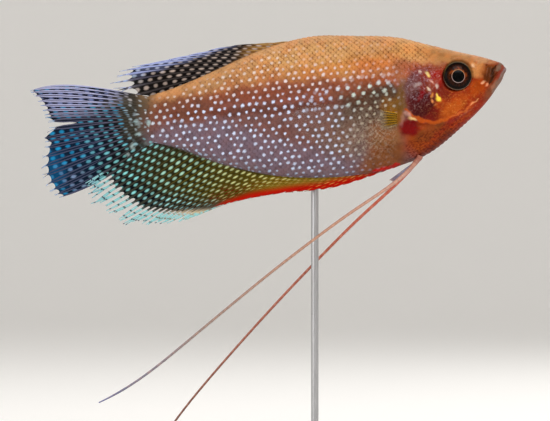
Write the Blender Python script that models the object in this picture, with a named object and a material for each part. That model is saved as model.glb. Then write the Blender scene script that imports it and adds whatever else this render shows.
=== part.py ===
"""A pearl gourami, life size, as a still model on a plain display stand.

The fish swims level with its snout towards +X. +Y is its left side and +Z is up. The origin is the centre of the
stand's underside. Sizes are in metres. A place on the fish is told by its distance behind the snout's tip and by its
height above the body's axis, a straight line that sinks from the snout to the root of the tail.
"""

import math
from dataclasses import dataclass

import bmesh
import bpy
import numpy as np
from mathutils import Matrix, Vector

MM = 0.001
GAP = 0.3 * MM

SNOUT_X = 51.6 * MM
SNOUT_Z = 101.0 * MM
AXIS_FALL = 0.1296  # how far the axis sinks for each step backwards

BODY_LENGTH = 86.6 * MM  # snout to the root of the tail fin
NOSE_RADIUS = 1.2 * MM
HEAD_END = 25.8 * MM  # where the head meets the torso, on the axis
HEAD_CUT_LEAN = math.radians(18)  # the gill opening runs down and forwards
STEM_START = 74.0 * MM  # where the torso meets the tail stem

AROUND = 36  # points round the body
HEAD_RINGS = 26
TRUNK_RINGS = 30

# Places behind the snout, and the body's sizes there, in millimetres.
STATIONS = (0.0, 1.2, 3.6, 10.8, 18.0, 25.2, 36.0, 46.8, 54.0, 61.2, 68.4, 79.2, 86.6)
TOP = (1.3, 1.8, 2.9, 5.5, 8.1, 10.9, 12.8, 14.0, 13.2, 11.5, 9.2, 6.0, 4.6)
BOTTOM = (2.0, 3.3, 6.4, 12.9, 17.8, 20.1, 20.9, 20.1, 18.8, 16.6, 13.8, 8.5, 6.1)
HALF_WIDTH = (1.0, 1.5, 2.7, 5.0, 6.2, 6.6, 6.6, 6.1, 5.5, 4.7, 3.8, 2.2, 1.0)
WIDEST = (0.0, -0.5, -1.4, -2.4, -3.4, -3.6, -3.2, -2.2, -1.9, -1.6, -1.5, -0.9, -0.7)
BACK_KEEL = (0.9, 0.9, 0.86, 0.84, 0.88, 0.95, 1.0, 1.05, 1.1, 1.1, 1.1, 1.05, 1.0)
BELLY_KEEL = (0.9, 0.9, 0.9, 0.94, 1.0, 1.08, 1.2, 1.25, 1.25, 1.25, 1.2, 1.1, 1.0)

# The gill cover: a raised plate round the cheek, its reach in millimetres every 45 degrees from straight back, upwards.
CHEEK_BACK = 16.8 * MM
CHEEK_HEIGHT = -3.4 * MM
CHEEK_REACH = (7.9, 7.4, 5.5, 8.0, 12.5, 9.4, 8.2, 8.9)
CHEEK_STEP = 0.5 * MM
CHEEK_EDGE = 0.8 * MM

EYE_BACK = 11.7 * MM
EYE_HEIGHT = -0.25 * MM
EYE_RADIUS = 3.45 * MM
EYE_DEPTH = 1.5 * MM
EYE_SUNK = 0.5 * MM  # how far the eye's middle lies inside the skin

NOSTRILS = ((4.6, 1.45, 0.24), (7.1, 2.35, 0.30))  # distance behind the snout, height, radius, in millimetres
NOSTRIL_DEPTH = 0.5 * MM

WEB_THICKNESS = 0.5 * MM
PITCH_SHARE = 0.24  # how much of the space between two rays each side of a ray takes
MOST_RAY_WIDTH = 0.42 * MM

FEELER_ROOT = 20.6 * MM
FEELER_SIDE = 2.0 * MM
FEELER_RADIUS = 0.44 * MM
FEELER_TIP_RADIUS = 0.14 * MM
FEELER_BENDS = (0.0, 0.1, 0.3, 0.6, 0.85, 1.0)
FEELER_STEPS = 36
FEELER_SIDES = 8

BASE_LENGTH = 92 * MM
BASE_WIDTH = 50 * MM
BASE_HEIGHT = 6 * MM
BASE_CORNER = 8 * MM
BASE_BEVEL = 1.0 * MM
ROD_X = 6.0 * MM
ROD_Y = 3.4 * MM
ROD_RADIUS = 0.9 * MM
COLLAR_RADIUS = 3.0 * MM
COLLAR_HEIGHT = 1.4 * MM


@dataclass(frozen=True)
class RayPlan:
    """How a fin's rays run, told at a few places across the fin.

    Headings are degrees upwards from straight back, where a ray leaves the body and at its tip. The web is the share
    of a ray that the membrane reaches along. A bend of 1 turns a ray evenly, and a larger one turns it near its tip.
    """

    across: tuple
    length: tuple
    root_heading: tuple
    tip_heading: tuple
    web: tuple
    bend: float = 1.0

    def at(self, place):
        """Length in metres, both headings in radians and the web's share at one place across the fin."""
        length = through(place, self.across, self.length) * MM
        root = math.radians(through(place, self.across, self.root_heading))
        tip = math.radians(through(place, self.across, self.tip_heading))
        return length, root, tip, through(place, self.across, self.web)


DORSAL = RayPlan(
    across=(0.0, 0.15, 0.3, 0.45, 0.6, 0.75, 0.88, 1.0),
    length=(4.2, 10.6, 18.2, 24.2, 28.6, 28.2, 24.6, 15.6),
    root_heading=(1, 4, 0, -2, -2, -3, -6, -14),
    tip_heading=(-15, -10, -14, -14, -12, -14, -16, -21),
    web=(0.96, 0.96, 0.95, 0.94, 0.92, 0.9, 0.88, 0.88),
)
ANAL = RayPlan(
    across=(0.0, 0.1, 0.2, 0.35, 0.45, 0.6, 0.75, 0.87, 1.0),
    length=(2.4, 8.8, 14.0, 21.4, 25.4, 27.4, 28.4, 26.4, 19.4),
    root_heading=(-28, -27, -19, -18, -22, -29, -36, -42, -49),
    tip_heading=(-24, -23, -17, -20, -28, -31, -32, -27, -15),
    web=(0.95, 0.95, 0.95, 0.92, 0.82, 0.74, 0.68, 0.62, 0.56),
)
TAIL_UPPER = RayPlan(
    across=(0.0, 0.13, 0.26, 0.4, 0.55, 0.7, 0.85, 1.0),
    length=(26.8, 27.7, 26.4, 24.3, 23.3, 22.6, 20.0, 16.3),
    root_heading=(11, 9.5, 7, 3.5, 1, -1, -1.5, -1),
    tip_heading=(-18, -11, -4, -1, -1, -3, -3.5, -4),
    web=(0.97, 0.97, 0.95, 0.93, 0.93, 0.92, 0.92, 0.93),
    bend=3.0,
)
TAIL_LOWER = RayPlan(
    across=(0.0, 0.12, 0.25, 0.5, 0.75, 0.88, 1.0),
    length=(18.5, 22.2, 23.0, 26.2, 27.2, 26.8, 25.2),
    root_heading=(-5, -7, -11, -20, -30, -36, -41),
    tip_heading=(-5, -6, -10, -19, -25, -27, -28),
    web=(0.9, 0.88, 0.88, 0.88, 0.88, 0.9, 0.95),
)
PECTORAL = RayPlan(
    across=(0.0, 0.15, 0.35, 0.6, 0.8, 1.0),
    length=(21.0, 25.4, 26.4, 23.0, 18.0, 12.0),
    root_heading=(10, 6, 0, -10, -20, -32),
    tip_heading=(2, 1, -3, -12, -22, -34),
    web=(0.94, 0.96, 0.96, 0.96, 0.95, 0.94),
)


def through(place, places, sizes):
    """A smooth curve through the sizes given at some places, read at another place."""
    places = np.asarray(places, float)
    sizes = np.asarray(sizes, float)
    slopes = np.gradient(sizes, places)
    place = np.clip(place, places[0], places[-1])
    i = np.clip(np.searchsorted(places, place, side="right") - 1, 0, len(places) - 2)
    step = places[i + 1] - places[i]
    t = (place - places[i]) / step
    rise = sizes[i] * (1 + 2 * t) * (1 - t) ** 2 + sizes[i + 1] * t * t * (3 - 2 * t)
    return rise + step * t * (1 - t) * (slopes[i] * (1 - t) - slopes[i + 1] * t)


def eased(value):
    """A step from 0 to 1 with soft ends."""
    value = np.clip(value, 0, 1)
    return value * value * (3 - 2 * value)


def axis_height(back):
    """Height of the body's axis at a distance behind the snout."""
    return SNOUT_Z - AXIS_FALL * back


def body_size(back, sizes):
    """One of the body's sizes, in metres, at a distance behind the snout. The nose closes in a round tip."""
    near = np.clip(back / NOSE_RADIUS, 0, 1)
    rounding = np.sqrt(near * (2 - near))
    return through(np.asarray(back) / MM, STATIONS, sizes) * MM * rounding


def cheek_relief(back, height):
    """How far the gill cover stands out, at a place told by distance behind the snout and height above the axis."""
    aside = back - CHEEK_BACK
    above = height - CHEEK_HEIGHT
    turn = np.degrees(np.arctan2(above, aside)) % 360
    reach = through(turn, np.arange(0, 361, 45), CHEEK_REACH + CHEEK_REACH[:1]) * MM
    inside = eased((reach - np.hypot(aside, above)) / CHEEK_EDGE)
    behind_mouth = eased((back - 4 * MM) / (6 * MM))
    return CHEEK_STEP * inside * behind_mouth


def half_width(back, height):
    """The body's half width at a place told by distance behind the snout and height above the axis."""
    widest = body_size(back, WIDEST)
    above = height >= widest
    reach = np.where(above, body_size(back, TOP) - widest, body_size(back, BOTTOM) + widest)
    keel = np.where(above, through(back / MM, STATIONS, BACK_KEEL), through(back / MM, STATIONS, BELLY_KEEL))
    share = np.clip((height - widest) / np.maximum(reach, 1e-6), -1, 1)
    return body_size(back, HALF_WIDTH) * (1 - share**2) ** (keel / 2) + cheek_relief(back, height)


def underside(back, side):
    """Height above the floor of the body's underside, at a distance behind the snout and out from the middle."""
    widest = body_size(back, WIDEST)
    share = min(abs(side) / body_size(back, HALF_WIDTH), 1.0)
    keel = through(back / MM, STATIONS, BELLY_KEEL)
    down = (body_size(back, BOTTOM) + widest) * math.sqrt(1 - share ** (2 / keel))
    return axis_height(back) + widest - down


def back_line(back):
    """Height above the floor of the body's upper edge."""
    return axis_height(back) + body_size(back, TOP)


def belly_line(back):
    """Height above the floor of the body's lower edge."""
    return axis_height(back) - body_size(back, BOTTOM)


def material(name, colour, roughness, metallic=0.0):
    """A plain finish."""
    made = bpy.data.materials.new(name)
    made.use_nodes = True
    shader = made.node_tree.nodes["Principled BSDF"]
    shader.inputs["Base Color"].default_value = (*colour, 1.0)
    shader.inputs["Roughness"].default_value = roughness
    shader.inputs["Metallic"].default_value = metallic
    return made


def add_object(name, points, faces, finish):
    """A mesh object made from points and faces, its faces pointing outwards."""
    mesh = bpy.data.meshes.new(name)
    mesh.from_pydata([tuple(map(float, p)) for p in points], [], [tuple(map(int, f)) for f in faces])
    mesh.validate()
    outward(mesh)
    obj = bpy.data.objects.new(name, mesh)
    obj.data.materials.append(finish)
    bpy.context.scene.collection.objects.link(obj)
    return obj


def outward(mesh):
    """Turns a mesh's faces outwards."""
    work = bmesh.new()
    work.from_mesh(mesh)
    bmesh.ops.recalc_face_normals(work, faces=work.faces)
    work.to_mesh(mesh)
    work.free()


def keep_largest(obj):
    """Drops all but the largest closed surface of a mesh."""
    work = bmesh.new()
    work.from_mesh(obj.data)
    unseen = set(work.faces)
    surfaces = []
    while unseen:
        found = {unseen.pop()}
        edge = list(found)
        while edge:
            for neighbour in {f for side in edge.pop().edges for f in side.link_faces} & unseen:
                unseen.discard(neighbour)
                found.add(neighbour)
                edge.append(neighbour)
        surfaces.append(found)
    largest = max(surfaces, key=lambda faces: sum(f.calc_area() for f in faces))
    bmesh.ops.delete(work, geom=[f for f in work.faces if f not in largest], context="FACES")
    work.to_mesh(obj.data)
    work.free()


def apply_boolean(obj, operation, others):
    """Joins or cuts an object with a group of closed meshes, which are then removed."""
    group = bpy.data.collections.new("pieces")
    bpy.context.scene.collection.children.link(group)
    for other in others:
        bpy.context.scene.collection.objects.unlink(other)
        group.objects.link(other)
    boolean = obj.modifiers.new("join", "BOOLEAN")
    boolean.operation = operation
    boolean.operand_type = "COLLECTION"
    boolean.collection = group
    boolean.solver = "EXACT"
    with bpy.context.temp_override(object=obj, active_object=obj, selected_objects=[obj]):
        bpy.ops.object.modifier_apply(modifier="join")
    for other in others:
        bpy.data.objects.remove(other)
    bpy.data.collections.remove(group)
    keep_largest(obj)


def smooth(obj, angle=40):
    """Shades an object smooth, with sharp edges kept."""
    obj.data.shade_smooth()
    obj.data.set_sharp_from_angle(angle=math.radians(angle))


def body_ring(back):
    """The points of one cross-section of the body, from the back's ridge down its left side and up its right."""
    turn = np.arange(AROUND) / AROUND * 2 * math.pi
    widest = body_size(back, WIDEST)
    above = np.cos(turn) >= 0
    reach = np.where(above, body_size(back, TOP) - widest, body_size(back, BOTTOM) + widest)
    height = widest + reach * np.cos(turn)
    side = half_width(back, height) * np.sign(np.round(np.sin(turn), 9))
    return np.stack([np.full(AROUND, SNOUT_X - back), side, axis_height(back) + height], axis=1)


def whole_body():
    """One closed skin from the snout to the root of the tail fin."""
    head = HEAD_END * 1.25 * (np.arange(1, HEAD_RINGS) / HEAD_RINGS) ** 1.25
    trunk = np.linspace(HEAD_END * 1.25, BODY_LENGTH, TRUNK_RINGS)
    rings = [body_ring(back) for back in (*head, *trunk)]
    tip = len(rings) * AROUND
    points = np.concatenate([*rings, [(SNOUT_X, 0, SNOUT_Z)]])
    faces = []
    for i in range(AROUND):
        j = (i + 1) % AROUND
        faces.append((tip, i, j))
        for start in range(0, tip - AROUND, AROUND):
            faces.append((start + i, start + AROUND + i, start + AROUND + j, start + j))
    faces.append(tuple(range(tip - AROUND, tip)))
    return points, faces


def cut_body(name, finish, cuts):
    """A length of the body, kept on the far side of each cut from where its normal points."""
    obj = add_object(name, *whole_body(), finish)
    work = bmesh.new()
    work.from_mesh(obj.data)
    for place, normal in cuts:
        everything = [*work.verts, *work.edges, *work.faces]
        bmesh.ops.bisect_plane(
            work, geom=everything, dist=1e-7, plane_co=place, plane_no=normal, clear_outer=True
        )
        bmesh.ops.holes_fill(work, edges=[e for e in work.edges if e.is_boundary])
    bmesh.ops.recalc_face_normals(work, faces=work.faces)
    work.to_mesh(obj.data)
    work.free()
    smooth(obj)
    return obj


def skin_frame(back, height, side):
    """A point on the skin at the side given (-1 right, 1 left), and the skin's outward normal there."""
    step = 0.3 * MM

    def point(b, h):
        return Vector((SNOUT_X - b, side * float(half_width(b, h)), axis_height(b) + h))

    along = point(back + step, height) - point(back - step, height)
    upward = point(back, height + step) - point(back, height - step)
    normal = along.cross(upward).normalized()
    return point(back, height), normal if normal.y * side > 0 else -normal


def eye_mesh(name, side, grown, finish):
    """The flattened ball of one eye, or with some growth the socket that it sits in."""
    place, normal = skin_frame(EYE_BACK, EYE_HEIGHT, side)
    facing = (normal + Vector((0, side, 0))).normalized()
    mesh = bpy.data.meshes.new(name)
    work = bmesh.new()
    bmesh.ops.create_uvsphere(work, u_segments=22, v_segments=12, radius=1.0)
    size = Matrix.Diagonal((EYE_RADIUS + grown, EYE_RADIUS + grown, EYE_DEPTH + grown, 1))
    turn = facing.to_track_quat("Z", "Y").to_matrix().to_4x4()
    move = Matrix.Translation(place - facing * EYE_SUNK)
    bmesh.ops.transform(work, matrix=move @ turn @ size, verts=work.verts)
    work.to_mesh(mesh)
    work.free()
    obj = bpy.data.objects.new(name, mesh)
    obj.data.materials.append(finish)
    bpy.context.scene.collection.objects.link(obj)
    smooth(obj)
    return obj


def tube(name, path, radii, sides, finish):
    """A closed tube of changing radius along a path of points."""
    path = [Vector(p) for p in path]
    points = []
    for i, place in enumerate(path):
        ahead = (path[min(i + 1, len(path) - 1)] - path[max(i - 1, 0)]).normalized()
        across = ahead.cross(Vector((0, 0, 1))).normalized()
        up = across.cross(ahead)
        for k in range(sides):
            turn = 2 * math.pi * k / sides
            points.append(place + (across * math.cos(turn) + up * math.sin(turn)) * radii[i])
    faces = [tuple(range(sides)), tuple(range(len(points) - sides, len(points)))]
    for start in range(0, len(points) - sides, sides):
        for k in range(sides):
            n = (k + 1) % sides
            faces.append((start + k, start + n, start + sides + n, start + sides + k))
    return add_object(name, points, faces, finish)


def lip(name, front, corner, radius, finish):
    """A roll of lip from one corner of the mouth round the snout to the other.

    The front and the corner are told by distance behind the snout, height above the axis and half width.
    """
    path = []
    for t in np.linspace(-1, 1, 13):
        share = abs(t)
        back = front[0] + (corner[0] - front[0]) * share**1.7
        height = front[1] + (corner[1] - front[1]) * share**1.2
        side = corner[2] * math.sin(t * math.pi / 2)
        path.append((SNOUT_X - back * MM, side * MM, axis_height(back * MM) + height * MM))
    radii = [radius * MM * (1 - 0.45 * abs(t) ** 2) for t in np.linspace(-1, 1, 13)]
    return tube(name, path, radii, 8, finish)


def nostril(name, back, height, radius, side, finish):
    """A short peg that cuts one nostril."""
    place, normal = skin_frame(back * MM, height * MM, side)
    path = [place - normal * NOSTRIL_DEPTH, place + normal * NOSTRIL_DEPTH]
    return tube(name, path, [radius * 0.6 * MM, radius * 1.3 * MM], 8, finish)


def make_body(skin):
    """The head with its mouth, nostrils and eye sockets, the torso and the tail stem."""
    lean = Vector((-math.cos(HEAD_CUT_LEAN), 0, -math.sin(HEAD_CUT_LEAN)))
    gill = Vector((SNOUT_X - HEAD_END, 0, axis_height(HEAD_END)))
    stem = Vector((SNOUT_X - STEM_START, 0, axis_height(STEM_START)))
    backwards = Vector((-1, 0, 0))
    head = cut_body("head", skin, [(gill - lean * GAP / 2, lean)])
    cut_body(
        "torso",
        skin,
        [(gill + lean * GAP / 2, -lean), (stem - backwards * GAP / 2, backwards)],
    )
    cut_body("tail_stem", skin, [(stem + backwards * GAP / 2, -backwards)])
    upper = lip("upper_lip", (1.4, 1.3, 0), (3.9, -1.9, 2.55), 0.5, skin)
    lower = lip("lower_lip", (0.3, 0.0, 0), (3.2, -2.8, 2.3), 0.64, skin)
    apply_boolean(head, "UNION", [upper, lower])
    cutters = [eye_mesh("socket", side, GAP, skin) for side in (-1, 1)]
    for side in (-1, 1):
        cutters += [nostril("nostril", *sizes, side, skin) for sizes in NOSTRILS]
    apply_boolean(head, "DIFFERENCE", cutters)
    smooth(head)


def ray_line(start, length, root_heading, tip_heading, bend, shares):
    """Places back and up along a ray from its root, at shares of its length, as its heading turns."""
    back, up = start
    steps = np.linspace(0, 1, 41)
    heading = root_heading + (tip_heading - root_heading) * ((steps[1:] + steps[:-1]) / 2) ** bend
    along_back = np.concatenate([[0], np.cumsum(np.cos(heading))]) * length / 40
    along_up = np.concatenate([[0], np.cumsum(np.sin(heading))]) * length / 40
    return back + np.interp(shares, steps, along_back), up + np.interp(shares, steps, along_up)


def ray_shares(web, web_steps, free_steps):
    """Shares of a ray's length at its cross-sections: through the membrane, then along the free tip."""
    inner = web * np.linspace(0, 1, web_steps + 1)
    return np.concatenate([inner, web + (1 - web) * np.linspace(0, 1, free_steps + 1)[1:]])


def planned_rays(plan, count, root, bow, web_steps, free_steps=2):
    """The centre lines of a fin's rays, as an array of rays by cross-sections by three.

    The root gives a ray's start, back and up, at a place across the fin, and the bow its distance to the left.
    """
    rays = []
    for place in np.linspace(0, 1, count):
        length, root_heading, tip_heading, web = plan.at(place)
        shares = ray_shares(web, web_steps, free_steps)
        back, height = ray_line(root(place), length, root_heading, tip_heading, plan.bend, shares)
        side = bow(place, shares, back, height)
        rays.append(np.stack([SNOUT_X - back, side, height], axis=1))
    return np.array(rays)


def fin(name, rays, web_steps, root_thickness, tip_thickness, finish):
    """A fin as one closed sheet: a membrane with each ray raised as a ridge, and ray tips free beyond its edge."""
    count, steps = rays.shape[:2]
    web_half = WEB_THICKNESS / 2
    points = np.zeros((count, steps, 6, 3))
    for i in range(count):
        for k in range(steps):
            along = rays[i, min(k + 1, steps - 1)] - rays[i, max(k - 1, 0)]
            before = rays[i, k] - rays[max(i - 1, 0), k]
            after = rays[min(i + 1, count - 1), k] - rays[i, k]
            before, after = (after if i == 0 else before), (before if i == count - 1 else after)
            normal = np.cross(along, before + after)
            normal /= np.linalg.norm(normal)
            share = k / (steps - 1)
            ridge = (root_thickness + (tip_thickness - root_thickness) * share) / 2
            web = min(web_half, ridge)
            if k > web_steps:
                free = (k - web_steps) / (steps - 1 - web_steps)
                outward_side = np.cross(normal, along / np.linalg.norm(along))
                before = after = outward_side * (0.26 - 0.14 * free) * MM
                web *= 0.8 - 0.3 * free
                ridge *= 1 - 0.45 * free
            else:
                before = before * min(PITCH_SHARE, MOST_RAY_WIDTH / np.linalg.norm(before))
                after = after * min(PITCH_SHARE, MOST_RAY_WIDTH / np.linalg.norm(after))
            centre = rays[i, k]
            points[i, k] = [
                centre - before + normal * web,
                centre + normal * ridge,
                centre + after + normal * web,
                centre + after - normal * web,
                centre - normal * ridge,
                centre - before - normal * web,
            ]

    def at(i, k, corner):
        return (i * steps + k) * 6 + corner

    faces = []

    def quad(a, b, c, d):
        faces.extend([(a, b, c), (a, c, d)])

    def sheet(i, k, left, j, right):
        """A strip on the front and the same strip, split alike, on the back."""
        quad(at(i, k, left), at(j, k, right), at(j, k + 1, right), at(i, k + 1, left))
        left, right = 5 - left, 5 - right
        a, b, c, d = at(i, k, left), at(j, k, right), at(j, k + 1, right), at(i, k + 1, left)
        faces.extend([(c, b, a), (d, c, a)])

    for i in range(count):
        for k in range(steps - 1):
            sheet(i, k, 0, i, 1)
            sheet(i, k, 1, i, 2)
            if i == 0 or k >= web_steps:
                quad(at(i, k, 5), at(i, k, 0), at(i, k + 1, 0), at(i, k + 1, 5))
            if i == count - 1 or k >= web_steps:
                quad(at(i, k, 2), at(i, k, 3), at(i, k + 1, 3), at(i, k + 1, 2))
            elif k < web_steps:
                sheet(i, k, 2, i + 1, 0)
        for k in (0, steps - 1):
            quad(at(i, k, 0), at(i, k, 1), at(i, k, 4), at(i, k, 5))
            quad(at(i, k, 1), at(i, k, 2), at(i, k, 3), at(i, k, 4))
        if i < count - 1:
            for k in (0, web_steps):
                quad(at(i, k, 2), at(i + 1, k, 0), at(i + 1, k, 5), at(i, k, 3))
    made = add_object(name, points.reshape(-1, 3), faces, finish)
    smooth(made, 60)
    return made


def ripple(place, shares, size, waves):
    """A soft wave across a fin that grows from its root to its edge."""
    return size * MM * np.sin(waves * 2 * math.pi * place) * shares


def make_dorsal(finish):
    """The fin on the back, laid back as the fish swims."""
    start, end = 51.2 * MM, 73.2 * MM

    def root(place):
        back = start + (end - start) * place
        return back, back_line(back) + GAP * 1.1

    def bow(place, shares, back, height):
        return ripple(place, shares, 0.5, 1.2) + 1.2 * MM * place * shares**2

    fin("dorsal_fin", planned_rays(DORSAL, 13, root, bow, 4), 4, 0.95 * MM, 0.6 * MM, finish)


def make_anal(finish):
    """The long fin under the belly, from behind the feelers to the tail, with its hind rays drawn out."""
    start, end = 27.4 * MM, 83.2 * MM

    def root(place):
        back = start + (end - start) * place
        return back, belly_line(back) - GAP * 1.1

    def bow(place, shares, back, height):
        return ripple(place, shares, 0.45, 2.5) - 2.6 * MM * place**2 * shares**1.5

    fin("anal_fin", planned_rays(ANAL, 26, root, bow, 4), 4, 0.9 * MM, 0.6 * MM, finish)


def make_tail(finish):
    """The two lobes of the tail fin, parted where the fork reaches in."""
    back = BODY_LENGTH + GAP
    top = 4.35 * MM
    fork = -0.7 * MM
    bottom = -5.75 * MM
    parting = 0.36 * MM

    def upper_root(place):
        return back, axis_height(back) + top + (fork + parting - top) * place

    def lower_root(place):
        return back, axis_height(back) + fork - parting + (bottom - fork + parting) * place

    def upper_bow(place, shares, back, height):
        return 0.22 * MM * np.sin(place * 7 * math.pi) * shares + 1.6 * MM * shares**2

    def lower_bow(place, shares, back, height):
        return ripple(place, shares, 0.5, 1.5) + (1.6 + 0.8 * place) * MM * shares**2

    upper = planned_rays(TAIL_UPPER, 8, upper_root, upper_bow, 4)
    lower = planned_rays(TAIL_LOWER, 9, lower_root, lower_bow, 4)
    fin("tail_fin_upper", upper, 4, 1.3 * MM, 0.6 * MM, finish)
    fin("tail_fin_lower", lower, 4, 1.3 * MM, 0.6 * MM, finish)


def make_pectorals(finish):
    """The two clear fins behind the gill covers, held a little out from the flanks."""
    root_back = 26.2 * MM
    root_top, root_bottom = -7.7 * MM, -11.3 * MM
    for name, side in (("pectoral_fin_right", -1), ("pectoral_fin_left", 1)):

        def root(place):
            return root_back, axis_height(root_back) + root_top + (root_bottom - root_top) * place

        def bow(place, shares, back, height, side=side):
            skin = half_width(back, height - axis_height(back))
            clear = skin + GAP + 0.45 * MM
            away = np.clip(back - root_back - 0.8 * MM, 0, None)
            return side * np.maximum(clear, clear[0] + 0.16 * away - 2.2 * away**2)

        rays = planned_rays(PECTORAL, 9, root, bow, 4, free_steps=1)
        fin(name, rays, 4, 0.7 * MM, 0.55 * MM, finish)


def feeler_path(start, length, headings, spread):
    """The centre line of one feeler, from its headings below straight back at FEELER_BENDS, shares of its length."""
    shares = np.linspace(0, 1, FEELER_STEPS + 1)
    heading = np.radians(through((shares[1:] + shares[:-1]) / 2, FEELER_BENDS, headings))
    step = length / FEELER_STEPS
    back = np.concatenate([[0], np.cumsum(np.cos(heading))]) * step
    down = np.concatenate([[0], np.cumsum(np.sin(heading))]) * step
    out = spread * MM * (1 - (1 - shares) ** 1.6)
    return [start + Vector((-b, o, -d)) for b, o, d in zip(back, out, down, strict=True)]


def seat_on_belly(obj, count):
    """Moves a mesh's first points up to the belly, a gap below it, so that the two meet face to face."""
    for vertex in obj.data.vertices[:count]:
        back = SNOUT_X - vertex.co.x
        vertex.co.z = underside(back, vertex.co.y) - GAP


def make_feelers(finish):
    """The two threadlike pelvic fins, each with a short stub of rays beside its root."""
    plans = (
        ("pelvic_feeler_right", -1, 96.2 * MM, (52, 36.5, 36.5, 39.5, 37, 25), 7.0),
        ("pelvic_feeler_left", 1, 94.0 * MM, (54, 44, 45.5, 48, 51, 57), 10.5),
    )
    for name, side, length, headings, spread in plans:
        place = Vector((SNOUT_X - FEELER_ROOT, side * FEELER_SIDE, 0))
        place.z = underside(FEELER_ROOT, FEELER_SIDE) - GAP - 0.25 * MM
        path = feeler_path(place, length, headings, side * spread)
        shares = np.linspace(0, 1, len(path))
        radii = FEELER_RADIUS + (0.25 * MM - FEELER_RADIUS) * shares**0.7 + 0.3 * MM * np.exp(-shares / 0.04)
        radii[-3:] = np.linspace(radii[-3], FEELER_TIP_RADIUS, 3)
        feeler = tube(name, path, radii, FEELER_SIDES, finish)
        level_ring(feeler, place, FEELER_RADIUS * 2)
        seat_on_belly(feeler, FEELER_SIDES)
        outward(feeler.data)
        stub = stub_rays(side, place, finish)
        apply_boolean(feeler, "UNION", [stub])
        smooth(feeler, 60)


def level_ring(obj, place, radius):
    """Lays a tube's first ring level round a point, as the foot that meets the belly."""
    for k in range(FEELER_SIDES):
        turn = 2 * math.pi * k / FEELER_SIDES
        obj.data.vertices[k].co = place + Vector((-math.sin(turn) * radius, math.cos(turn) * radius, 0))


def stub_rays(side, place, finish):
    """The short hind rays of one pelvic fin, which trail from inside the feeler's root."""
    rays = []
    for spread in (0.0, 0.5, 1.0):
        heading = math.radians(-35.5 - 5.5 * spread)
        length = (8.8 - 0.8 * spread) * MM
        shares = np.linspace(0, 1, 4)
        start = place + Vector((-0.1 * MM * spread, side * 0.2 * MM, -0.35 * MM - 0.2 * MM * spread))
        ahead = Vector((-math.cos(heading), side * 0.06, math.sin(heading)))
        points = [start + ahead * length * s for s in shares]
        rays.append([tuple(p) for p in points])
    return fin("stub", np.array(rays), 2, 0.6 * MM, 0.5 * MM, finish)


def make_eyes(finish):
    """The two eyes, each a flattened ball in its socket."""
    for name, side in (("eye_right", -1), ("eye_left", 1)):
        eye_mesh(name, side, 0.0, finish)


def make_stand(wood, steel):
    """A flat base with round corners, and one thin rod with a collar up to the belly."""
    corner_steps = 6
    outline = []
    for quarter, (sx, sy) in enumerate(((1, 1), (-1, 1), (-1, -1), (1, -1))):
        centre = (sx * (BASE_LENGTH / 2 - BASE_CORNER), sy * (BASE_WIDTH / 2 - BASE_CORNER))
        for k in range(corner_steps + 1):
            turn = math.pi / 2 * (quarter + k / corner_steps)
            outline.append((centre[0] + BASE_CORNER * math.cos(turn), centre[1] + BASE_CORNER * math.sin(turn)))
    levels = ((0.0, 0.0), (BASE_HEIGHT - BASE_BEVEL, 0.0), (BASE_HEIGHT, BASE_BEVEL))
    points = []
    for height, inset in levels:
        shrink_x = 1 - inset / (BASE_LENGTH / 2)
        shrink_y = 1 - inset / (BASE_WIDTH / 2)
        points += [(x * shrink_x, y * shrink_y, height) for x, y in outline]
    count = len(outline)
    faces = [tuple(range(count)), tuple(range(2 * count, 3 * count))]
    for start in (0, count):
        for k in range(count):
            n = (k + 1) % count
            faces.append((start + k, start + n, start + count + n, start + count + k))
    smooth(add_object("stand_base", points, faces, wood), 50)

    foot = BASE_HEIGHT + GAP
    profile = [
        (COLLAR_RADIUS, foot),
        (COLLAR_RADIUS, foot + COLLAR_HEIGHT * 0.6),
        (COLLAR_RADIUS * 0.8, foot + COLLAR_HEIGHT),
        (ROD_RADIUS, foot + COLLAR_HEIGHT),
        (ROD_RADIUS, 0.0),
    ]
    sides = 20
    points = []
    for level, (radius, height) in enumerate(profile):
        for k in range(sides):
            turn = 2 * math.pi * k / sides
            x, y = ROD_X + radius * math.cos(turn), ROD_Y + radius * math.sin(turn)
            top = underside(SNOUT_X - x, y) - GAP
            points.append((x, y, top if level == len(profile) - 1 else height))
    centre = len(points)
    points.append((ROD_X, ROD_Y, underside(SNOUT_X - ROD_X, ROD_Y) - GAP))
    faces = [tuple(range(sides))]
    for k in range(sides):
        n = (k + 1) % sides
        faces.append((centre, centre - sides + k, centre - sides + n))
        for level in range(len(profile) - 1):
            start = level * sides
            faces.append((start + k, start + n, start + sides + n, start + sides + k))
    smooth(add_object("stand_rod", points, faces, steel), 40)


def main():
    """Clears the scene and builds the model."""
    for obj in list(bpy.data.objects):
        bpy.data.objects.remove(obj)
    skin = material("skin", (0.55, 0.32, 0.16), 0.35)
    fins = material("fins", (0.10, 0.20, 0.25), 0.4)
    clear = material("clear_fin", (0.6, 0.55, 0.4), 0.3)
    threads = material("feelers", (0.62, 0.22, 0.1), 0.4)
    eyes = material("eyes", (0.05, 0.03, 0.02), 0.08)
    wood = material("stand_wood", (0.05, 0.03, 0.02), 0.4)
    steel = material("stand_steel", (0.6, 0.6, 0.62), 0.25, 1.0)
    make_body(skin)
    make_eyes(eyes)
    make_dorsal(fins)
    make_anal(fins)
    make_tail(fins)
    make_pectorals(clear)
    make_feelers(threads)
    make_stand(wood, steel)


main()
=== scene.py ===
"""The looks of a life-size pearl gourami on a plain display stand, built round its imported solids.

The fish swims level with its snout towards +X, +Y is its left side and +Z is up, in metres. A place on the fish is told
in millimetres by "back", its distance behind the snout's tip, and "height", above the body's axis, a straight line that
sinks from the snout to the root of the tail.
"""

import logging
import math
from dataclasses import dataclass
from enum import Enum
from typing import Callable, Sequence

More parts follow.
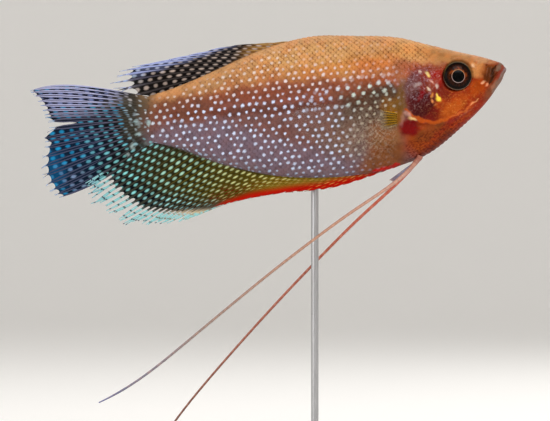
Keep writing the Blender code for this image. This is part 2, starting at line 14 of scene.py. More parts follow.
import bpy
import numpy as np
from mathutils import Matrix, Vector


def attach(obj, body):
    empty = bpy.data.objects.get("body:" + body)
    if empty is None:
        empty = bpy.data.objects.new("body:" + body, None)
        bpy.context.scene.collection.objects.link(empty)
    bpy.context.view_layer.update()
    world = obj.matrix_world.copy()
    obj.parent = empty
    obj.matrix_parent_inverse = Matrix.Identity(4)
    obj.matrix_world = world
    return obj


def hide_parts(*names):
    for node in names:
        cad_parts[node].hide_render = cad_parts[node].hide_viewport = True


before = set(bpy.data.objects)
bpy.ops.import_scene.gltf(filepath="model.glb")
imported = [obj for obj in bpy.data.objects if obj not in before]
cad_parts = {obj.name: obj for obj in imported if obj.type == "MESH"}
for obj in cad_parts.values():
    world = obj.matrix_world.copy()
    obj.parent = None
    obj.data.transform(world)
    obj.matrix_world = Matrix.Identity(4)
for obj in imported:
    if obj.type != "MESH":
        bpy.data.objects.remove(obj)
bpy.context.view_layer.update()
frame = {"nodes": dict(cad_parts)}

LOG = logging.getLogger("gourami")
MM = 0.001
SNOUT = (51.6, 101.0)  # where the snout's tip is, along and above the stand's middle, in millimetres
AXIS_FALL = 0.1296  # how far the body's axis sinks for each millimetre back
BODY_LENGTH = 86.6
GAP = 0.3  # the space kept between pieces
SIDE_SHIFT = 120.0  # keeps the patterns of the two sides apart
RING_RATE = 5.2  # how closely the rings of a feeler follow each other
UNWRAP_MARGIN = 0.02  # the empty edge of the skin's unwrap

Array = np.ndarray
Material, Mesh, Object = bpy.types.Material, bpy.types.Mesh, bpy.types.Object
Socket = bpy.types.NodeSocket


class Side(Enum):
    """The two sides of the fish, as the sign of Y there."""

    RIGHT = -1
    LEFT = 1

    @property
    def label(self) -> str:
        """The side as the record's names have it."""
        return self.name.lower()


class Slot(Enum):
    """The material slots of the part's record."""

    SKIN = "skin"
    EYE = "eye"
    FIN = "fin"
    CLEAR_FIN = "clear_fin"
    FEELER = "feeler"
    WOOD = "stand_wood"
    STEEL = "stand_steel"


def through(place: Array | float, places: Sequence[float], sizes: Sequence[float]) -> Array:
    """A smooth curve through the sizes given at some places.

    Args:
        place: Where to read the curve.
        places: The places that have a size, rising.
        sizes: The size at each of them.

    Returns:
        The curve's height at each place asked for.
    """
    places = np.asarray(places, float)
    sizes = np.asarray(sizes, float)
    slopes = np.gradient(sizes, places)
    place = np.clip(place, places[0], places[-1])
    i = np.clip(np.searchsorted(places, place, side="right") - 1, 0, len(places) - 2)
    step = places[i + 1] - places[i]
    t = (place - places[i]) / step
    rise = sizes[i] * (1 + 2 * t) * (1 - t) ** 2 + sizes[i + 1] * t * t * (3 - 2 * t)
    return rise + step * t * (1 - t) * (slopes[i] * (1 - t) - slopes[i + 1] * t)


def eased(value: Array | float) -> Array:
    """A step from 0 to 1 with soft ends, for values from 0 to 1."""
    value = np.clip(value, 0, 1)
    return value * value * (3 - 2 * value)


def bump(distance: Array, width: float) -> Array:
    """A round hill, 1 at distance 0, that falls to nothing over about two widths."""
    return np.exp(-((distance / width) ** 2))


def mound(back: Array, height: Array, middle: tuple[float, float], reach: tuple[float, float]) -> Array:
    """A round hill over an oval place on the fish, 1 in its middle."""
    return bump(np.hypot((back - middle[0]) / reach[0], (height - middle[1]) / reach[1]), 1.0)


def tint(code: str) -> tuple[float, float, float, float]:
    """A colour written as #rrggbb, as linear light with full cover."""
    parts = [int(code[i : i + 2], 16) / 255 for i in (1, 3, 5)]
    return (*(p / 12.92 if p <= 0.04045 else ((p + 0.055) / 1.055) ** 2.4 for p in parts), 1.0)


def wander(back: Array, height: Array, size: float, pitch: float) -> tuple[Array, Array]:
    """Places moved a little, in long uneven waves, so that what is drawn over them has a natural edge.

    Args:
        back: Distance behind the snout.
        height: Height above the axis.
        size: The most that a place moves.
        pitch: The length of the waves.

    Returns:
        The moved distances and heights.
    """
    b, h = back / pitch, height / pitch
    along = np.sin(1.7 * b + 2.3 * h) + np.sin(3.1 * b - 1.9 * h + 1.0) * 0.6 + np.sin(-5.3 * b + 4.1 * h + 2.0) * 0.4
    up = np.sin(2.1 * b - 1.3 * h + 4.0) + np.sin(-2.7 * b + 3.7 * h + 0.5) * 0.6 + np.sin(6.1 * b + 3.3 * h) * 0.4
    return back + size * along / 2, height + size * up / 2


@dataclass(frozen=True)
class Patch:
    """A soft oval of colour on the fish.

    The middle is told by back and height, the reach by its two half lengths, and the turn is in degrees from straight
    back, upwards. Soft is the share of the reach over which the edge fades.
    """

    colour: str
    middle: tuple[float, float]
    reach: tuple[float, float]
    turn: float = 0.0
    soft: float = 0.6
    strength: float = 1.0

    def cover(self, back: Array, height: Array) -> Array:
        """How much of the patch shows at each place, from 0 to its strength."""
        across, up = back - self.middle[0], height - self.middle[1]
        c, s = math.cos(math.radians(self.turn)), math.sin(math.radians(self.turn))
        far = np.hypot((across * c + up * s) / self.reach[0], (up * c - across * s) / self.reach[1])
        return self.strength * eased((1 + self.soft / 2 - far) / self.soft)


@dataclass(frozen=True)
class Wash:
    """A colour over all that lies above, or below, a line along the fish."""

    colour: str
    places: tuple[float, ...]
    heights: tuple[float, ...]
    fade: float
    above: bool = True
    strength: float = 1.0

    def cover(self, back: Array, height: Array) -> Array:
        """How much of the wash shows at each place, from 0 to its strength."""
        over = (height - through(back, self.places, self.heights)) / self.fade
        return self.strength * eased((over if self.above else -over) + 0.5)


@dataclass(frozen=True)
class Stroke:
    """A line of colour drawn through a few places, told by back and height, that thins to its ends."""

    colour: str
    line: tuple[tuple[float, float], ...]
    width: float
    soft: float = 0.7
    strength: float = 1.0

    def cover(self, back: Array, height: Array) -> Array:
        """How much of the line shows at each place, from 0 to its strength."""
        near, along = line_distance(np.stack([back, height], axis=-1), np.array(self.line, float))
        reach = self.width * (0.45 + 0.55 * np.sin(np.pi * along))
        return self.strength * eased((1 + self.soft / 2 - near / reach) / self.soft)


def line_distance(points: Array, line: Array) -> tuple[Array, Array]:
    """How far points lie from a line of straight pieces, in any number of dimensions.

    Args:
        points: The points, with their numbers in the last axis.
        line: The line's corners, one a row.

    Returns:
        The distance to the line, and the share of the line's pieces at the nearest place.
    """
    best = np.full(points.shape[:-1], 1e9)
    share = np.zeros(points.shape[:-1])
    pieces = len(line) - 1
    for i in range(pieces):
        ahead = line[i + 1] - line[i]
        t = np.clip((points - line[i]) @ ahead / max(float(ahead @ ahead), 1e-12), 0, 1)
        far = np.linalg.norm(points - line[i] - t[..., None] * ahead, axis=-1)
        closer = far < best
        best = np.where(closer, far, best)
        share = np.where(closer, (i + t) / pieces, share)
    return best, share


@dataclass(frozen=True)
class Palette:
    """A ground colour and the layers painted over it, from first to last."""

    ground: str
    layers: tuple[Patch | Wash | Stroke, ...] = ()
    ragged: float = 0.0
    pitch: float = 2.0

    def paint(self, back: Array, height: Array) -> Array:
        """The colours at some places.

        Args:
            back: Distance behind the snout, in millimetres.
            height: Height above the axis, in millimetres.

        Returns:
            One row of red, green, blue and 1 for each place, as linear light.
        """
        b, h = wander(back, height, self.ragged, self.pitch)
        b, h = wander(b, h, self.ragged * 0.5, self.pitch * 0.31)
        colours = np.tile(tint(self.ground), (len(back), 1))
        for layer in self.layers:
            cover = layer.cover(b, h)[:, None]
            colours += (np.array(tint(layer.colour)) - colours) * cover
        return colours


@dataclass(frozen=True)
class BodyForm:
    """The body's sizes at places behind the snout, in millimetres, and the raised plate of the gill cover."""

    places: tuple[float, ...] = (0.0, 1.2, 3.6, 10.8, 18.0, 25.2, 36.0, 46.8, 54.0, 61.2, 68.4, 79.2, 86.6)
    top: tuple[float, ...] = (1.3, 1.8, 2.9, 5.5, 8.1, 10.9, 12.8, 14.0, 13.2, 11.5, 9.2, 6.0, 4.6)
    bottom: tuple[float, ...] = (2.0, 3.3, 6.4, 12.9, 17.8, 20.1, 20.9, 20.1, 18.8, 16.6, 13.8, 8.5, 6.1)
    half: tuple[float, ...] = (1.0, 1.5, 2.7, 5.0, 6.2, 6.6, 6.6, 6.1, 5.5, 4.7, 3.8, 2.2, 1.0)
    widest: tuple[float, ...] = (0.0, -0.5, -1.4, -2.4, -3.4, -3.6, -3.2, -2.2, -1.9, -1.6, -1.5, -0.9, -0.7)
    back_keel: tuple[float, ...] = (0.9, 0.9, 0.86, 0.84, 0.88, 0.95, 1.0, 1.05, 1.1, 1.1, 1.1, 1.05, 1.0)
    belly_keel: tuple[float, ...] = (0.9, 0.9, 0.9, 0.94, 1.0, 1.08, 1.2, 1.25, 1.25, 1.25, 1.2, 1.1, 1.0)
    nose_radius: float = 1.2
    cheek_middle: tuple[float, float] = (16.8, -3.4)
    cheek_reach: tuple[float, ...] = (7.9, 7.4, 5.5, 8.0, 12.5, 9.4, 8.2, 8.9)  # every 45 degrees, from back, upwards
    cheek_step: float = 0.5
    cheek_edge: float = 0.8

    def size(self, back: Array | float, sizes: Sequence[float]) -> Array:
        """One of the body's sizes at a distance behind the snout, where the nose closes in a round tip."""
        near = np.clip(np.asarray(back) / self.nose_radius, 0, 1)
        return through(back, self.places, sizes) * np.sqrt(near * (2 - near))

    def cheek_depth(self, back: Array, height: Array) -> Array:
        """How far inside the gill cover's edge a place lies, and below 0 outside it."""
        aside, above = back - self.cheek_middle[0], height - self.cheek_middle[1]
        turn = np.degrees(np.arctan2(above, aside)) % 360
        reach = through(turn, np.arange(0, 361, 45), self.cheek_reach + self.cheek_reach[:1])
        return reach - np.hypot(aside, above)

    def half_width(self, back: Array, height: Array) -> Array:
        """The body's half width at a place."""
        widest = self.size(back, self.widest)
        above = height >= widest
        reach = np.where(above, self.size(back, self.top) - widest, self.size(back, self.bottom) + widest)
        upper, lower = (through(back, self.places, keel) for keel in (self.back_keel, self.belly_keel))
        share = np.clip((height - widest) / np.maximum(reach, 1e-3), -1, 1)
        plate = self.cheek_step * eased(self.cheek_depth(back, height) / self.cheek_edge) * eased((back - 4) / 6)
        return self.size(back, self.half) * (1 - share**2) ** (np.where(above, upper, lower) / 2) + plate

    def underside(self, back: float, side: float) -> float:
        """Height above the floor of the body's underside, out from the middle."""
        widest = float(self.size(back, self.widest))
        share = min(abs(side) / float(self.size(back, self.half)), 1.0)
        keel = float(through(back, self.places, self.belly_keel))
        down = (float(self.size(back, self.bottom)) + widest) * math.sqrt(1 - share ** (2 / keel))
        return axis_height(back) + widest - down


def axis_height(back: Array | float) -> Array | float:
    """Height of the body's axis above the floor, in millimetres."""
    return SNOUT[1] - AXIS_FALL * back


def in_space(back: Array, side: Array, height: Array) -> Array:
    """Places told by back, side and height above the axis, as points in millimetres."""
    return np.stack([SNOUT[0] - back, side, axis_height(back) + height], axis=-1)


def on_fish(points: Array) -> tuple[Array, Array]:
    """The back and the height above the axis of points in metres, in millimetres."""
    back = SNOUT[0] - points[:, 0] / MM
    return back, points[:, 2] / MM - axis_height(back)


class Graph:
    """Adds nodes to a tree and links them, so that a finish or a form reads as a list of steps."""

    def __init__(self, tree: bpy.types.NodeTree) -> None:
        """Takes the tree that the nodes go into."""
        self.tree = tree

    def node(self, kind: str, inputs: dict | None = None, **settings: object) -> bpy.types.Node:
        """Adds a node.

        Args:
            kind: Blender's name of the node type.
            inputs: For an input's name or number, the socket that feeds it, or its value.
            settings: The node's own properties.

        Returns:
            The new node.
        """
        made = self.tree.nodes.new(kind)
        for name, value in settings.items():
            setattr(made, name, value)
        for key, value in (inputs or {}).items():
            self.feed(made.inputs[key], value)
        return made

    def feed(self, socket: Socket, value: object) -> None:
        """Links an input to another node, or sets its value."""
        if isinstance(value, Socket):
            self.tree.links.new(value, socket)
        else:
            socket.default_value = value

    def out(self, kind: str, inputs: dict | None = None, **settings: object) -> Socket:
        """Adds a node and gives its first output."""
        return self.node(kind, inputs, **settings).outputs[0]

    def math(self, operation: str, *values: object) -> Socket:
        """The result of a sum on sockets or numbers."""
        return self.out("ShaderNodeMath", dict(enumerate(values)), operation=operation)

    def times(self, first: object, second: object) -> Socket:
        """One number times another."""
        return self.math("MULTIPLY", first, second)

    def plus(self, first: object, second: object) -> Socket:
        """One number and another."""
        return self.math("ADD", first, second)

    def minus(self, first: object, second: object) -> Socket:
        """One number less another."""
        return self.math("SUBTRACT", first, second)

    def times_plus(self, first: object, factor: object, more: object) -> Socket:
        """One number times another, and a third."""
        return self.math("MULTIPLY_ADD", first, factor, more)

    def span(self, x: object, y: object) -> Socket:
        """The length of a line from its reach along and up."""
        return self.math("SQRT", self.plus(self.times(x, x), self.times(y, y)))

    def parts(self, socket: Socket) -> list[Socket]:
        """The three numbers of a vector."""
        return list(self.node("ShaderNodeSeparateXYZ", {0: socket}).outputs)

    def joined(self, x: object, y: object, z: object = 0.0) -> Socket:
        """A vector of three numbers."""
        return self.out("ShaderNodeCombineXYZ", {0: x, 1: y, 2: z})

    def step(self, value: object, low: float, high: float) -> Socket:
        """A soft step that is 0 at low and 1 at high, which may be the smaller."""
        settings = {"Value": value, "From Min": low, "From Max": high}
        return self.out("ShaderNodeMapRange", settings, interpolation_type="SMOOTHSTEP")


class ShaderGraph(Graph):
    """A material's tree, with its surface shader in place."""

    def __init__(self, name: str) -> None:
        """Makes a material of that name and keeps it."""
        self.material = bpy.data.materials.new(name)
        self.material.use_nodes = True
        super().__init__(self.material.node_tree)
        self.surface = self.tree.nodes["Principled BSDF"]

    def attribute(self, name: str, kind: str = "Color") -> Socket:
        """One of a piece's own attributes, as a colour, a vector or a number."""
        return self.node("ShaderNodeAttribute", attribute_name=name).outputs[kind]

    def mix(self, factor: object, first: object, second: object, blend: str = "MIX") -> Socket:
        """One colour over another."""
        inputs = {0: factor, 6: first, 7: second}
        return self.node("ShaderNodeMix", inputs, data_type="RGBA", blend_type=blend).outputs[2]

    def noise(self, place: object, scale: float, detail: float = 2.0, rough: float = 0.5) -> Socket:
        """A cloudy texture, from 0 to 1; the scale is in waves for each unit of the place."""
        inputs = {"Vector": place, "Scale": scale, "Detail": detail, "Roughness": rough}
        return self.node("ShaderNodeTexNoise", inputs).outputs["Fac"]

    def cells(self, place: object, scale: float, uneven: float) -> Socket:
        """The distance from scattered points on a plane, one for each cell of a grid."""
        inputs = {"Vector": place, "Scale": scale, "Randomness": uneven}
        return self.node("ShaderNodeTexVoronoi", inputs, voronoi_dimensions="2D").outputs["Distance"]

    def stretched(self, stretch: tuple[float, float, float]) -> Socket:
        """A place on the piece itself, with each of its numbers times one of the three."""
        place = self.node("ShaderNodeTexCoord").outputs["Object"]
        return self.out("ShaderNodeVectorMath", {0: place, 1: stretch}, operation="MULTIPLY")

    def relief(self, height: object, distance: float, under: object = None) -> Socket:
        """A normal bent by a height, over another normal if there is one."""
        inputs = {"Height": height, "Distance": distance, "Strength": 1.0}
        if under is not None:
            inputs["Normal"] = under
        return self.out("ShaderNodeBump", inputs)

    def finish(self, **values: object) -> Material:
        """Sets the surface's inputs, named with underscores, and gives the material."""
        for name, value in values.items():
            self.feed(self.surface.inputs[name.replace("_", " ")], value)
        return self.material


class FormGraph(Graph):
    """A Geometry Nodes tree with named inputs, which turns one mesh into another."""

    def __init__(self, name: str, numbers: dict[str, float], finish: Material) -> None:
        """Makes the tree.

        Args:
            name: What the tree is called.
            numbers: The named sizes that go into it.
            finish: The material that its result wears.
        """
        super().__init__(bpy.data.node_groups.new(name, "GeometryNodeTree"))
        self.values = {**numbers, "Finish": finish}
        face = self.tree.interface
        face.new_socket("Geometry", in_out="INPUT", socket_type="NodeSocketGeometry")
        for label in numbers:
            kind = "NodeSocketInt" if isinstance(numbers[label], int) else "NodeSocketFloat"
            face.new_socket(label, in_out="INPUT", socket_type=kind)
        face.new_socket("Finish", in_out="INPUT", socket_type="NodeSocketMaterial")
        face.new_socket("Geometry", in_out="OUTPUT", socket_type="NodeSocketGeometry")
        self.given = self.tree.nodes.new("NodeGroupInput").outputs

    def named(self, name: str, kind: str = "FLOAT") -> Socket:
        """One of the attributes of the mesh that comes in."""
        return self.out("GeometryNodeInputNamedAttribute", {"Name": name}, data_type=kind)

    def close(self, geometry: Socket) -> None:
        """Ends the tree: instances made real, shaded smooth, with its finish set."""
        real = self.out("GeometryNodeRealizeInstances", {0: geometry})
        round_shaded = self.out("GeometryNodeSetShadeSmooth", {"Geometry": real})
        dressed = self.node("GeometryNodeSetMaterial", {"Geometry": round_shaded, "Material": self.given["Finish"]})
        self.node("NodeGroupOutput", {0: dressed.outputs[0]})

    def run(self, name: str, source: Mesh) -> Mesh:
        """Runs a mesh through the tree.

        Args:
            name: What the result is called.
            source: The mesh that goes in.

        Returns:
            The result as a plain mesh.
        """
        carrier = into_scene(name + "_source", source)
        modifier = carrier.modifiers.new(self.tree.name, "NODES")
        modifier.node_group = self.tree
        for socket in self.tree.interface.items_tree:
            if socket.in_out == "INPUT" and socket.name in self.values:
                modifier[socket.identifier] = self.values[socket.name]
        carrier.update_tag()
        bpy.context.view_layer.update()
        graph = bpy.context.evaluated_depsgraph_get()
        finished = carrier.evaluated_get(graph)
        mesh = bpy.data.meshes.new_from_object(finished, preserve_all_data_layers=True, depsgraph=graph)
        carrier.modifiers.remove(modifier)
        bpy.data.objects.remove(carrier)
        mesh.name = name
        mesh.materials.clear()
        mesh.materials.append(self.values["Finish"])
        mesh.polygons.foreach_set("material_index", np.zeros(len(mesh.polygons), np.int32))
        return mesh


def new_mesh(name: str, points: Array, faces: Sequence = (), edges: Sequence = ()) -> Mesh:
    """A mesh from points in metres, with its faces or edges."""
    mesh = bpy.data.meshes.new(name)
    corners = [list(map(int, face)) for face in faces]
    mesh.from_pydata(np.asarray(points, float).tolist(), np.asarray(edges, int).tolist(), corners)
    mesh.update()
    if len(faces):
        mesh.shade_smooth()
    return mesh


INSIDE_OUT = [0, 3, 2, 1]  # the corners of a quad, taken the other way round


def into_scene(name: str, data: bpy.types.ID) -> Object:
    """A new object with some data, put into the scene."""
    made = bpy.data.objects.new(name, data)
    bpy.context.scene.collection.objects.link(made)
    return made


def ring_quads(rings: int, around: int, first: int = 0) -> Array:
    """The quads between closed rings of points that follow each other.

    Args:
        rings: How many rings there are.
        around: Points in a ring.
        first: The number of the first ring's first point.

    Returns:
        Four point numbers for each quad, which run on round the ring before they go over to the next.
    """
    start = first + np.arange(rings - 1)[:, None] * around
    here = np.arange(around)[None, :]
    beside = (here + 1) % around
    corners = [start + here, start + beside, start + around + beside, start + around + here]
    return np.stack(corners, axis=-1).reshape(-1, 4)


def points_of(mesh: Mesh) -> Array:
    """A mesh's points, one a row."""
    flat = np.zeros(len(mesh.vertices) * 3, np.float32)
    mesh.vertices.foreach_get("co", flat)
    return flat.reshape(-1, 3).astype(float)


def move_points(mesh: Mesh, points: Array) -> None:
    """Puts a mesh's points in new places."""
    mesh.vertices.foreach_set("co", points.astype(np.float32).ravel())
    mesh.update()


def write_attribute(mesh: Mesh, name: str, values: Array) -> None:
    """Keeps a number, a vector or a colour for each point of a mesh.

    Args:
        mesh: The mesh.
        name: What a material calls it.
        values: One value, or a row of three or four, for each point.
    """
    values = np.asarray(values, np.float32)
    width = 1 if values.ndim == 1 else values.shape[1]
    kind, field = {1: ("FLOAT", "value"), 3: ("FLOAT_VECTOR", "vector"), 4: ("FLOAT_COLOR", "color")}[width]
    old = mesh.attributes.get(name)
    if old:
        mesh.attributes.remove(old)
    mesh.attributes.new(name, kind, "POINT").data.foreach_set(field, values.ravel())


def read_vectors(mesh: Mesh, name: str) -> Array:
    """The vectors that a mesh keeps for its points, one a row."""
    data = mesh.attributes[name].data
    flat = np.zeros(len(data) * 3, np.float32)
    data.foreach_get("vector", flat)
    return flat.reshape(-1, 3).astype(float)


def place_piece(mesh: Mesh, stands_for: Sequence[str] = ()) -> Object:
    """Puts a finished mesh into the scene as a piece of the fish.

    Args:
        mesh: The mesh, in its place, with its material.
        stands_for: The solids that it replaces.

    Returns:
        The piece.
    """
    piece = into_scene(mesh.name, mesh)
    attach(piece, "root")
    if stands_for:
        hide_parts(*stands_for)
    mesh.calc_loop_triangles()
    LOG.info("%s: %d triangles", mesh.name, len(mesh.loop_triangles))
    return piece


BODY_TINTS = Palette(
    ground="#ba8450",
    ragged=0.5,
    pitch=3.4,
    layers=(
        # the back and the upper flank
        Wash("#a07c56", (56, 64, 74, 86), (12, 6, 3, 1.5), 6),
        Wash("#c08c5a", (8, 18, 36, 46, 61, 79, 86), (2.6, 5.4, 8.6, 9.6, 8, 3.6, 3), 4.6, strength=0.8),
        Wash("#c69868", (3, 11, 18, 36, 46, 61, 79, 86), (2.4, 4.4, 6.6, 11.6, 12.6, 10.4, 5.2, 4), 1.8, strength=0.7),
        Patch("#c4883e", (40, 5.2), (15, 2.4), -3, 0.9, 0.55),
        Patch("#b5642c", (30, 3.4), (7, 3.2), 12, 0.9, 0.6),
        # the flank, darker downwards
        Wash("#985c3a", (24, 34, 46, 58, 72, 86), (3.4, 3, 4.4, 5, 3.6, 1.8), 5.4, above=False),
        Wash("#804a3c", (24, 34, 46, 58, 72, 86), (1.6, 1, 2.4, 3.2, 2.2, 0.6), 3.4, above=False),
        Patch("#9a4c22", (31, 0.6), (5.5, 1.4), 10, 0.9, 0.7),
        Patch("#7a442e", (54, 1.4), (24, 1.5), 2, 1, 0.6),
        Patch("#7c4a30", (38, -1.4), (7, 1.3), 2, 0.9, 0.6),
        Wash("#6e4c48", (26, 40, 54, 66, 78, 86), (-2.6, -2.8, -1.2, -0.6, -1.4, -2.8), 4.6, above=False),
        Wash("#6e5e6c", (40, 54, 66, 78, 86), (-14, -10.5, -4.4, -3.4, -4.4), 5, above=False, strength=0.9),
        Stroke("#54291a", ((28, -2), (39.7, -2.7), (52, -2.8), (61, -2.2), (73, -1), (80, 0)), 1, strength=0.5),
        # the tail stem, the shoulder and the breast
        Patch("#6b4132", (77, 0.2), (7.5, 2.8), 8, 0.9, 0.85),
        Patch("#402c1b", (33, -5.6), (7.5, 4.8), -8, 0.9, 0.85),
        Patch("#64483c", (36, -12.5), (9, 4.5), 12, 1, 0.7),
        Patch("#80532c", (28.6, -12.6), (4.4, 4.6), 0, 0.9, 0.9),
        Patch("#cf9450", (21.5, 7), (6, 2.2), 18, 1, 0.5),
        Patch("#cda468", (46, 9.4), (12, 2.4), -2, 1, 0.4),
        Patch("#734c14", (27.2, -5.4), (2.4, 4.4), -8, 0.8, 0.95),
        Patch("#87580c", (27, -8.4), (2, 2.2), 0, 0.9, 0.8),
        Patch("#70401c", (28.6, -17), (4.8, 3), -6, 0.9, 0.95),
        Patch("#3e2e26", (28.4, -2), (3.2, 2), 10, 1, 0.8),
        # the belly's edge and the tail's root
        Wash("#76666e", (26, 31, 37, 54, 68, 84), (-28, -23, -19.6, -17.2, -12.2, -6), 1.8, above=False, strength=0.6),
        Patch("#423b30", (90, 1.2), (5.2, 9), 0, 1, 0.9),
        Patch("#9db9bd", (85.2, -1.7), (0.36, 0.85), 0, 0.9, 0.8),
        Patch("#8a9a98", (86.4, -6.8), (0.6, 0.7), 0, 0.9, 0.8),
        Patch("#7a4624", (29, -19.6), (6.5, 2.4), 0, 1, 0.9),
        Stroke("#b40f06", ((25.4, -19.2), (28.2, -20.4), (30.2, -20.9), (33, -21.5), (37, -22.2)), 0.85, strength=0.95),
        # the nape, the cheek and the gill cover
        Patch("#985832", (25, 2.4), (3, 2.4), 20, 0.9, 0.8),
        Patch("#a0502c", (19.6, 2.2), (6, 1.8), 8, 1, 0.85),
        Patch("#841e02", (12, -7.4), (13, 6.9), -42, 0.5),
        Patch("#8e3c0a", (18.4, -13.6), (6.4, 4.4), -20, 0.7),
        Patch("#a4703f", (14.2, 4.6), (6.4, 1.9), 20, 1, 0.75),
        Patch("#c07e46", (7.2, 1), (2.6, 2.2), 0, 0.8),
        Patch("#8c2a04", (10.6, -4.8), (4.6, 2.7), -28, 0.7),
        Patch("#9a3c04", (6.8, -3.7), (2.4, 1.9), -30, 0.8, 0.95),
        Patch("#6c1a0a", (18.8, -3.6), (5.7, 5.6), 0, 0.7),
        Patch("#7c2e1c", (17.8, 1.4), (4.6, 1.8), 8, 1, 0.75),
        Patch("#8c1004", (16.5, -0.2), (2, 2.2), 0, 0.9, 0.9),
        Patch("#8a4a34", (18.2, -1.9), (2.1, 1.2), -40, 1, 0.55),
        Patch("#6a3538", (21.8, 0.8), (1.9, 1.2), -30, 1, 0.8),
        Patch("#5f3f3d", (22.7, -2), (1.8, 2.3), 0, 0.9, 0.85),
        Patch("#40080c", (21.2, -5.2), (2.9, 2.2), 0, 0.9, 0.9),
        Patch("#3e0204", (20, -7), (3.6, 2.2), -16, 0.9),
        Patch("#5e0a04", (17, -9.2), (3.4, 1.4), -14, 0.9, 0.9),
        Patch("#6f0006", (20.5, -3.95), (0.75, 1.1), 30, 0.7),
        # the jaw and the throat
        Patch("#a8480a", (12.8, -7.7), (3.6, 1.8), -30, 0.9),
        Patch("#a3400c", (15.6, -6.4), (1.7, 1.2), -30, 1, 0.7),
        Patch("#9a3a0a", (9.4, -9), (4.6, 0.9), -44, 0.9, 0.7),
        Patch("#8a1604", (13, -11), (5.4, 0.9), -38, 0.9, 0.7),
        Patch("#733a10", (18.8, -12.8), (4.2, 1.6), -16, 0.9, 0.7),
        Patch("#661c04", (16, -16), (5, 1.4), -30, 0.9, 0.8),
        Stroke(
            "#b04c0c",
            ((24.6, -6.7), (22.8, -8.2), (21, -9.3), (18.4, -10.5), (15.4, -10.8), (12.6, -9.7)),
            0.5,
            strength=0.85,
        ),
        # the gill cover's edge
        Patch("#6c0000", (23.2, -11.2), (2.1, 2.2), -20, 0.7),
        Patch("#a57c74", (24.9, -9.4), (0.4, 1.6), -6, 1, 0.4),
        # a painted yellow-white glint on the gill cover's edge
        Patch("#d9b67a", (22.5, -9.1), (0.95, 0.36), 28, 0.9),
        Patch("#b98c80", (23.8, -8), (0.9, 0.5), 28, 1, 0.85),
        Patch("#9a8086", (24.7, 0), (0.5, 1), -14, 1, 0.5),
        Patch("#6a4a20", (25.2, -3.4), (1, 4), 8, 1, 0.75),
        # small glints of the cheek
        Patch("#d8c06c", (18.5, 0.95), (0.85, 0.34), 62, 0.8),
        Patch("#cdbab0", (20.4, 1.6), (0.5, 0.3), 20, 0.9, 0.9),
        Patch("#d0a090", (17.95, -1), (0.75, 0.28), 50, 0.9, 0.85),
        Patch("#c4b0a2", (16.57, -2.05), (0.25, 0.55), 0, 0.9, 0.9),
        Patch("#d9c9b0", (19, -2.6), (0.8, 0.3), 40, 0.9),
        Patch("#9a8a88", (21.2, -1.4), (0.8, 0.5), -20, 0.9, 0.8),
        Patch("#e08a4c", (17.65, -5.8), (0.32, 0.5), 0, 0.9, 0.85),
        Patch("#d08a40", (17.98, -4.3), (0.36, 0.6), 0, 0.9, 0.8),
        Patch("#f0d040", (16.15, -5.35), (0.66, 0.72), 0, 0.7),
        Patch("#eccf58", (16.45, -4.25), (0.36, 0.6), 0, 0.8),
        # the snout and the lips
        # painted pinkish highlights behind the mouth's corner
        Patch("#e2a77e", (5.6, -2.3), (0.85, 0.34), -22, 0.9, 0.85),
        Patch("#e09a70", (4.66, -3.2), (0.6, 0.42), -30, 0.9, 0.9),
        Patch("#7a4428", (3.2, -4.4), (2.6, 1.2), -50, 0.9, 0.85),
        Patch("#7a3c10", (4.1, -0.5), (1.9, 2.1), 0, 0.8, 0.9),
        Patch("#4a2204", (4, -0.9), (1.5, 1.7), 0, 0.9, 0.85),
        # a painted highlight on the rear nostril's rim
        Patch("#f0c39c", (7.7, 2), (0.5, 0.5), 0, 0.9, 0.6),
        Patch("#bc8a60", (5.4, 2.8), (2.6, 0.8), 20, 0.9, 0.8),
        Patch("#a07058", (2.4, -3.4), (1.3, 0.6), -55, 0.9, 0.6),
        Stroke("#3a1a04", ((2.6, 0.8), (3.2, -0.6), (3.5, -2), (3.9, -3)), 0.42),
        Stroke("#4a2406", ((4.1, 0.9), (4.4, -0.4), (4.7, -1.6)), 0.2, strength=0.7),
        Stroke("#706050", ((1, 1.6), (1.7, 1), (2, 0.2), (2.4, -0.6)), 0.5, strength=0.7),
        Stroke("#787276", ((0.2, 1), (0.1, 0), (0.5, -1.2), (1.2, -2.4)), 0.5, strength=0.75),
        Stroke("#7a6558", ((0.4, -1), (0.9, -2.4), (1.9, -3.8), (3, -5)), 0.6, strength=0.75),
        Stroke("#c0602a", ((13.6, -10.1), (11.4, -9.4), (9.6, -8.4), (7.6, -7.2)), 0.3, strength=0.7),
        Stroke("#de9460", ((8.4, -7.9), (7.3, -7.2), (6.3, -6.5)), 0.2, strength=0.8),
    ),
)

PEARL_TINTS = Palette(
    ground="#d2dffa",
    layers=(
        Wash("#dccccc", (24, 40, 56, 70, 86), (0.4, 0.4, 1.2, 1.2, 0.4), 4),
        Wash("#dcae8c", (24, 40, 56, 70, 86), (4.4, 6.4, 9, 9, 9), 4),
        Wash("#deccc0", (48, 56, 70, 86), (9, 4.4, 3, 2), 2, strength=0.7),
        Patch("#c2d0c8", (33, -2.6), (7.5, 3.6), 5, 0.8),
        Patch("#b4a890", (30, -11), (8, 8), 0, 0.9),
        Patch("#c2c6c4", (84, 0.4), (3, 5), 0, 0.9, 0.6),
        Wash("#a9bdd8", (26, 36, 54, 68, 84), (-19, -19.4, -17, -12, -6), 1.6, above=False),
        Patch("#d98a3c", (10, -4), (13, 12), 0, 0.5),
        Patch("#b8a0aa", (20.6, -1), (4.8, 5.4), 0, 0.8),
    ),
)

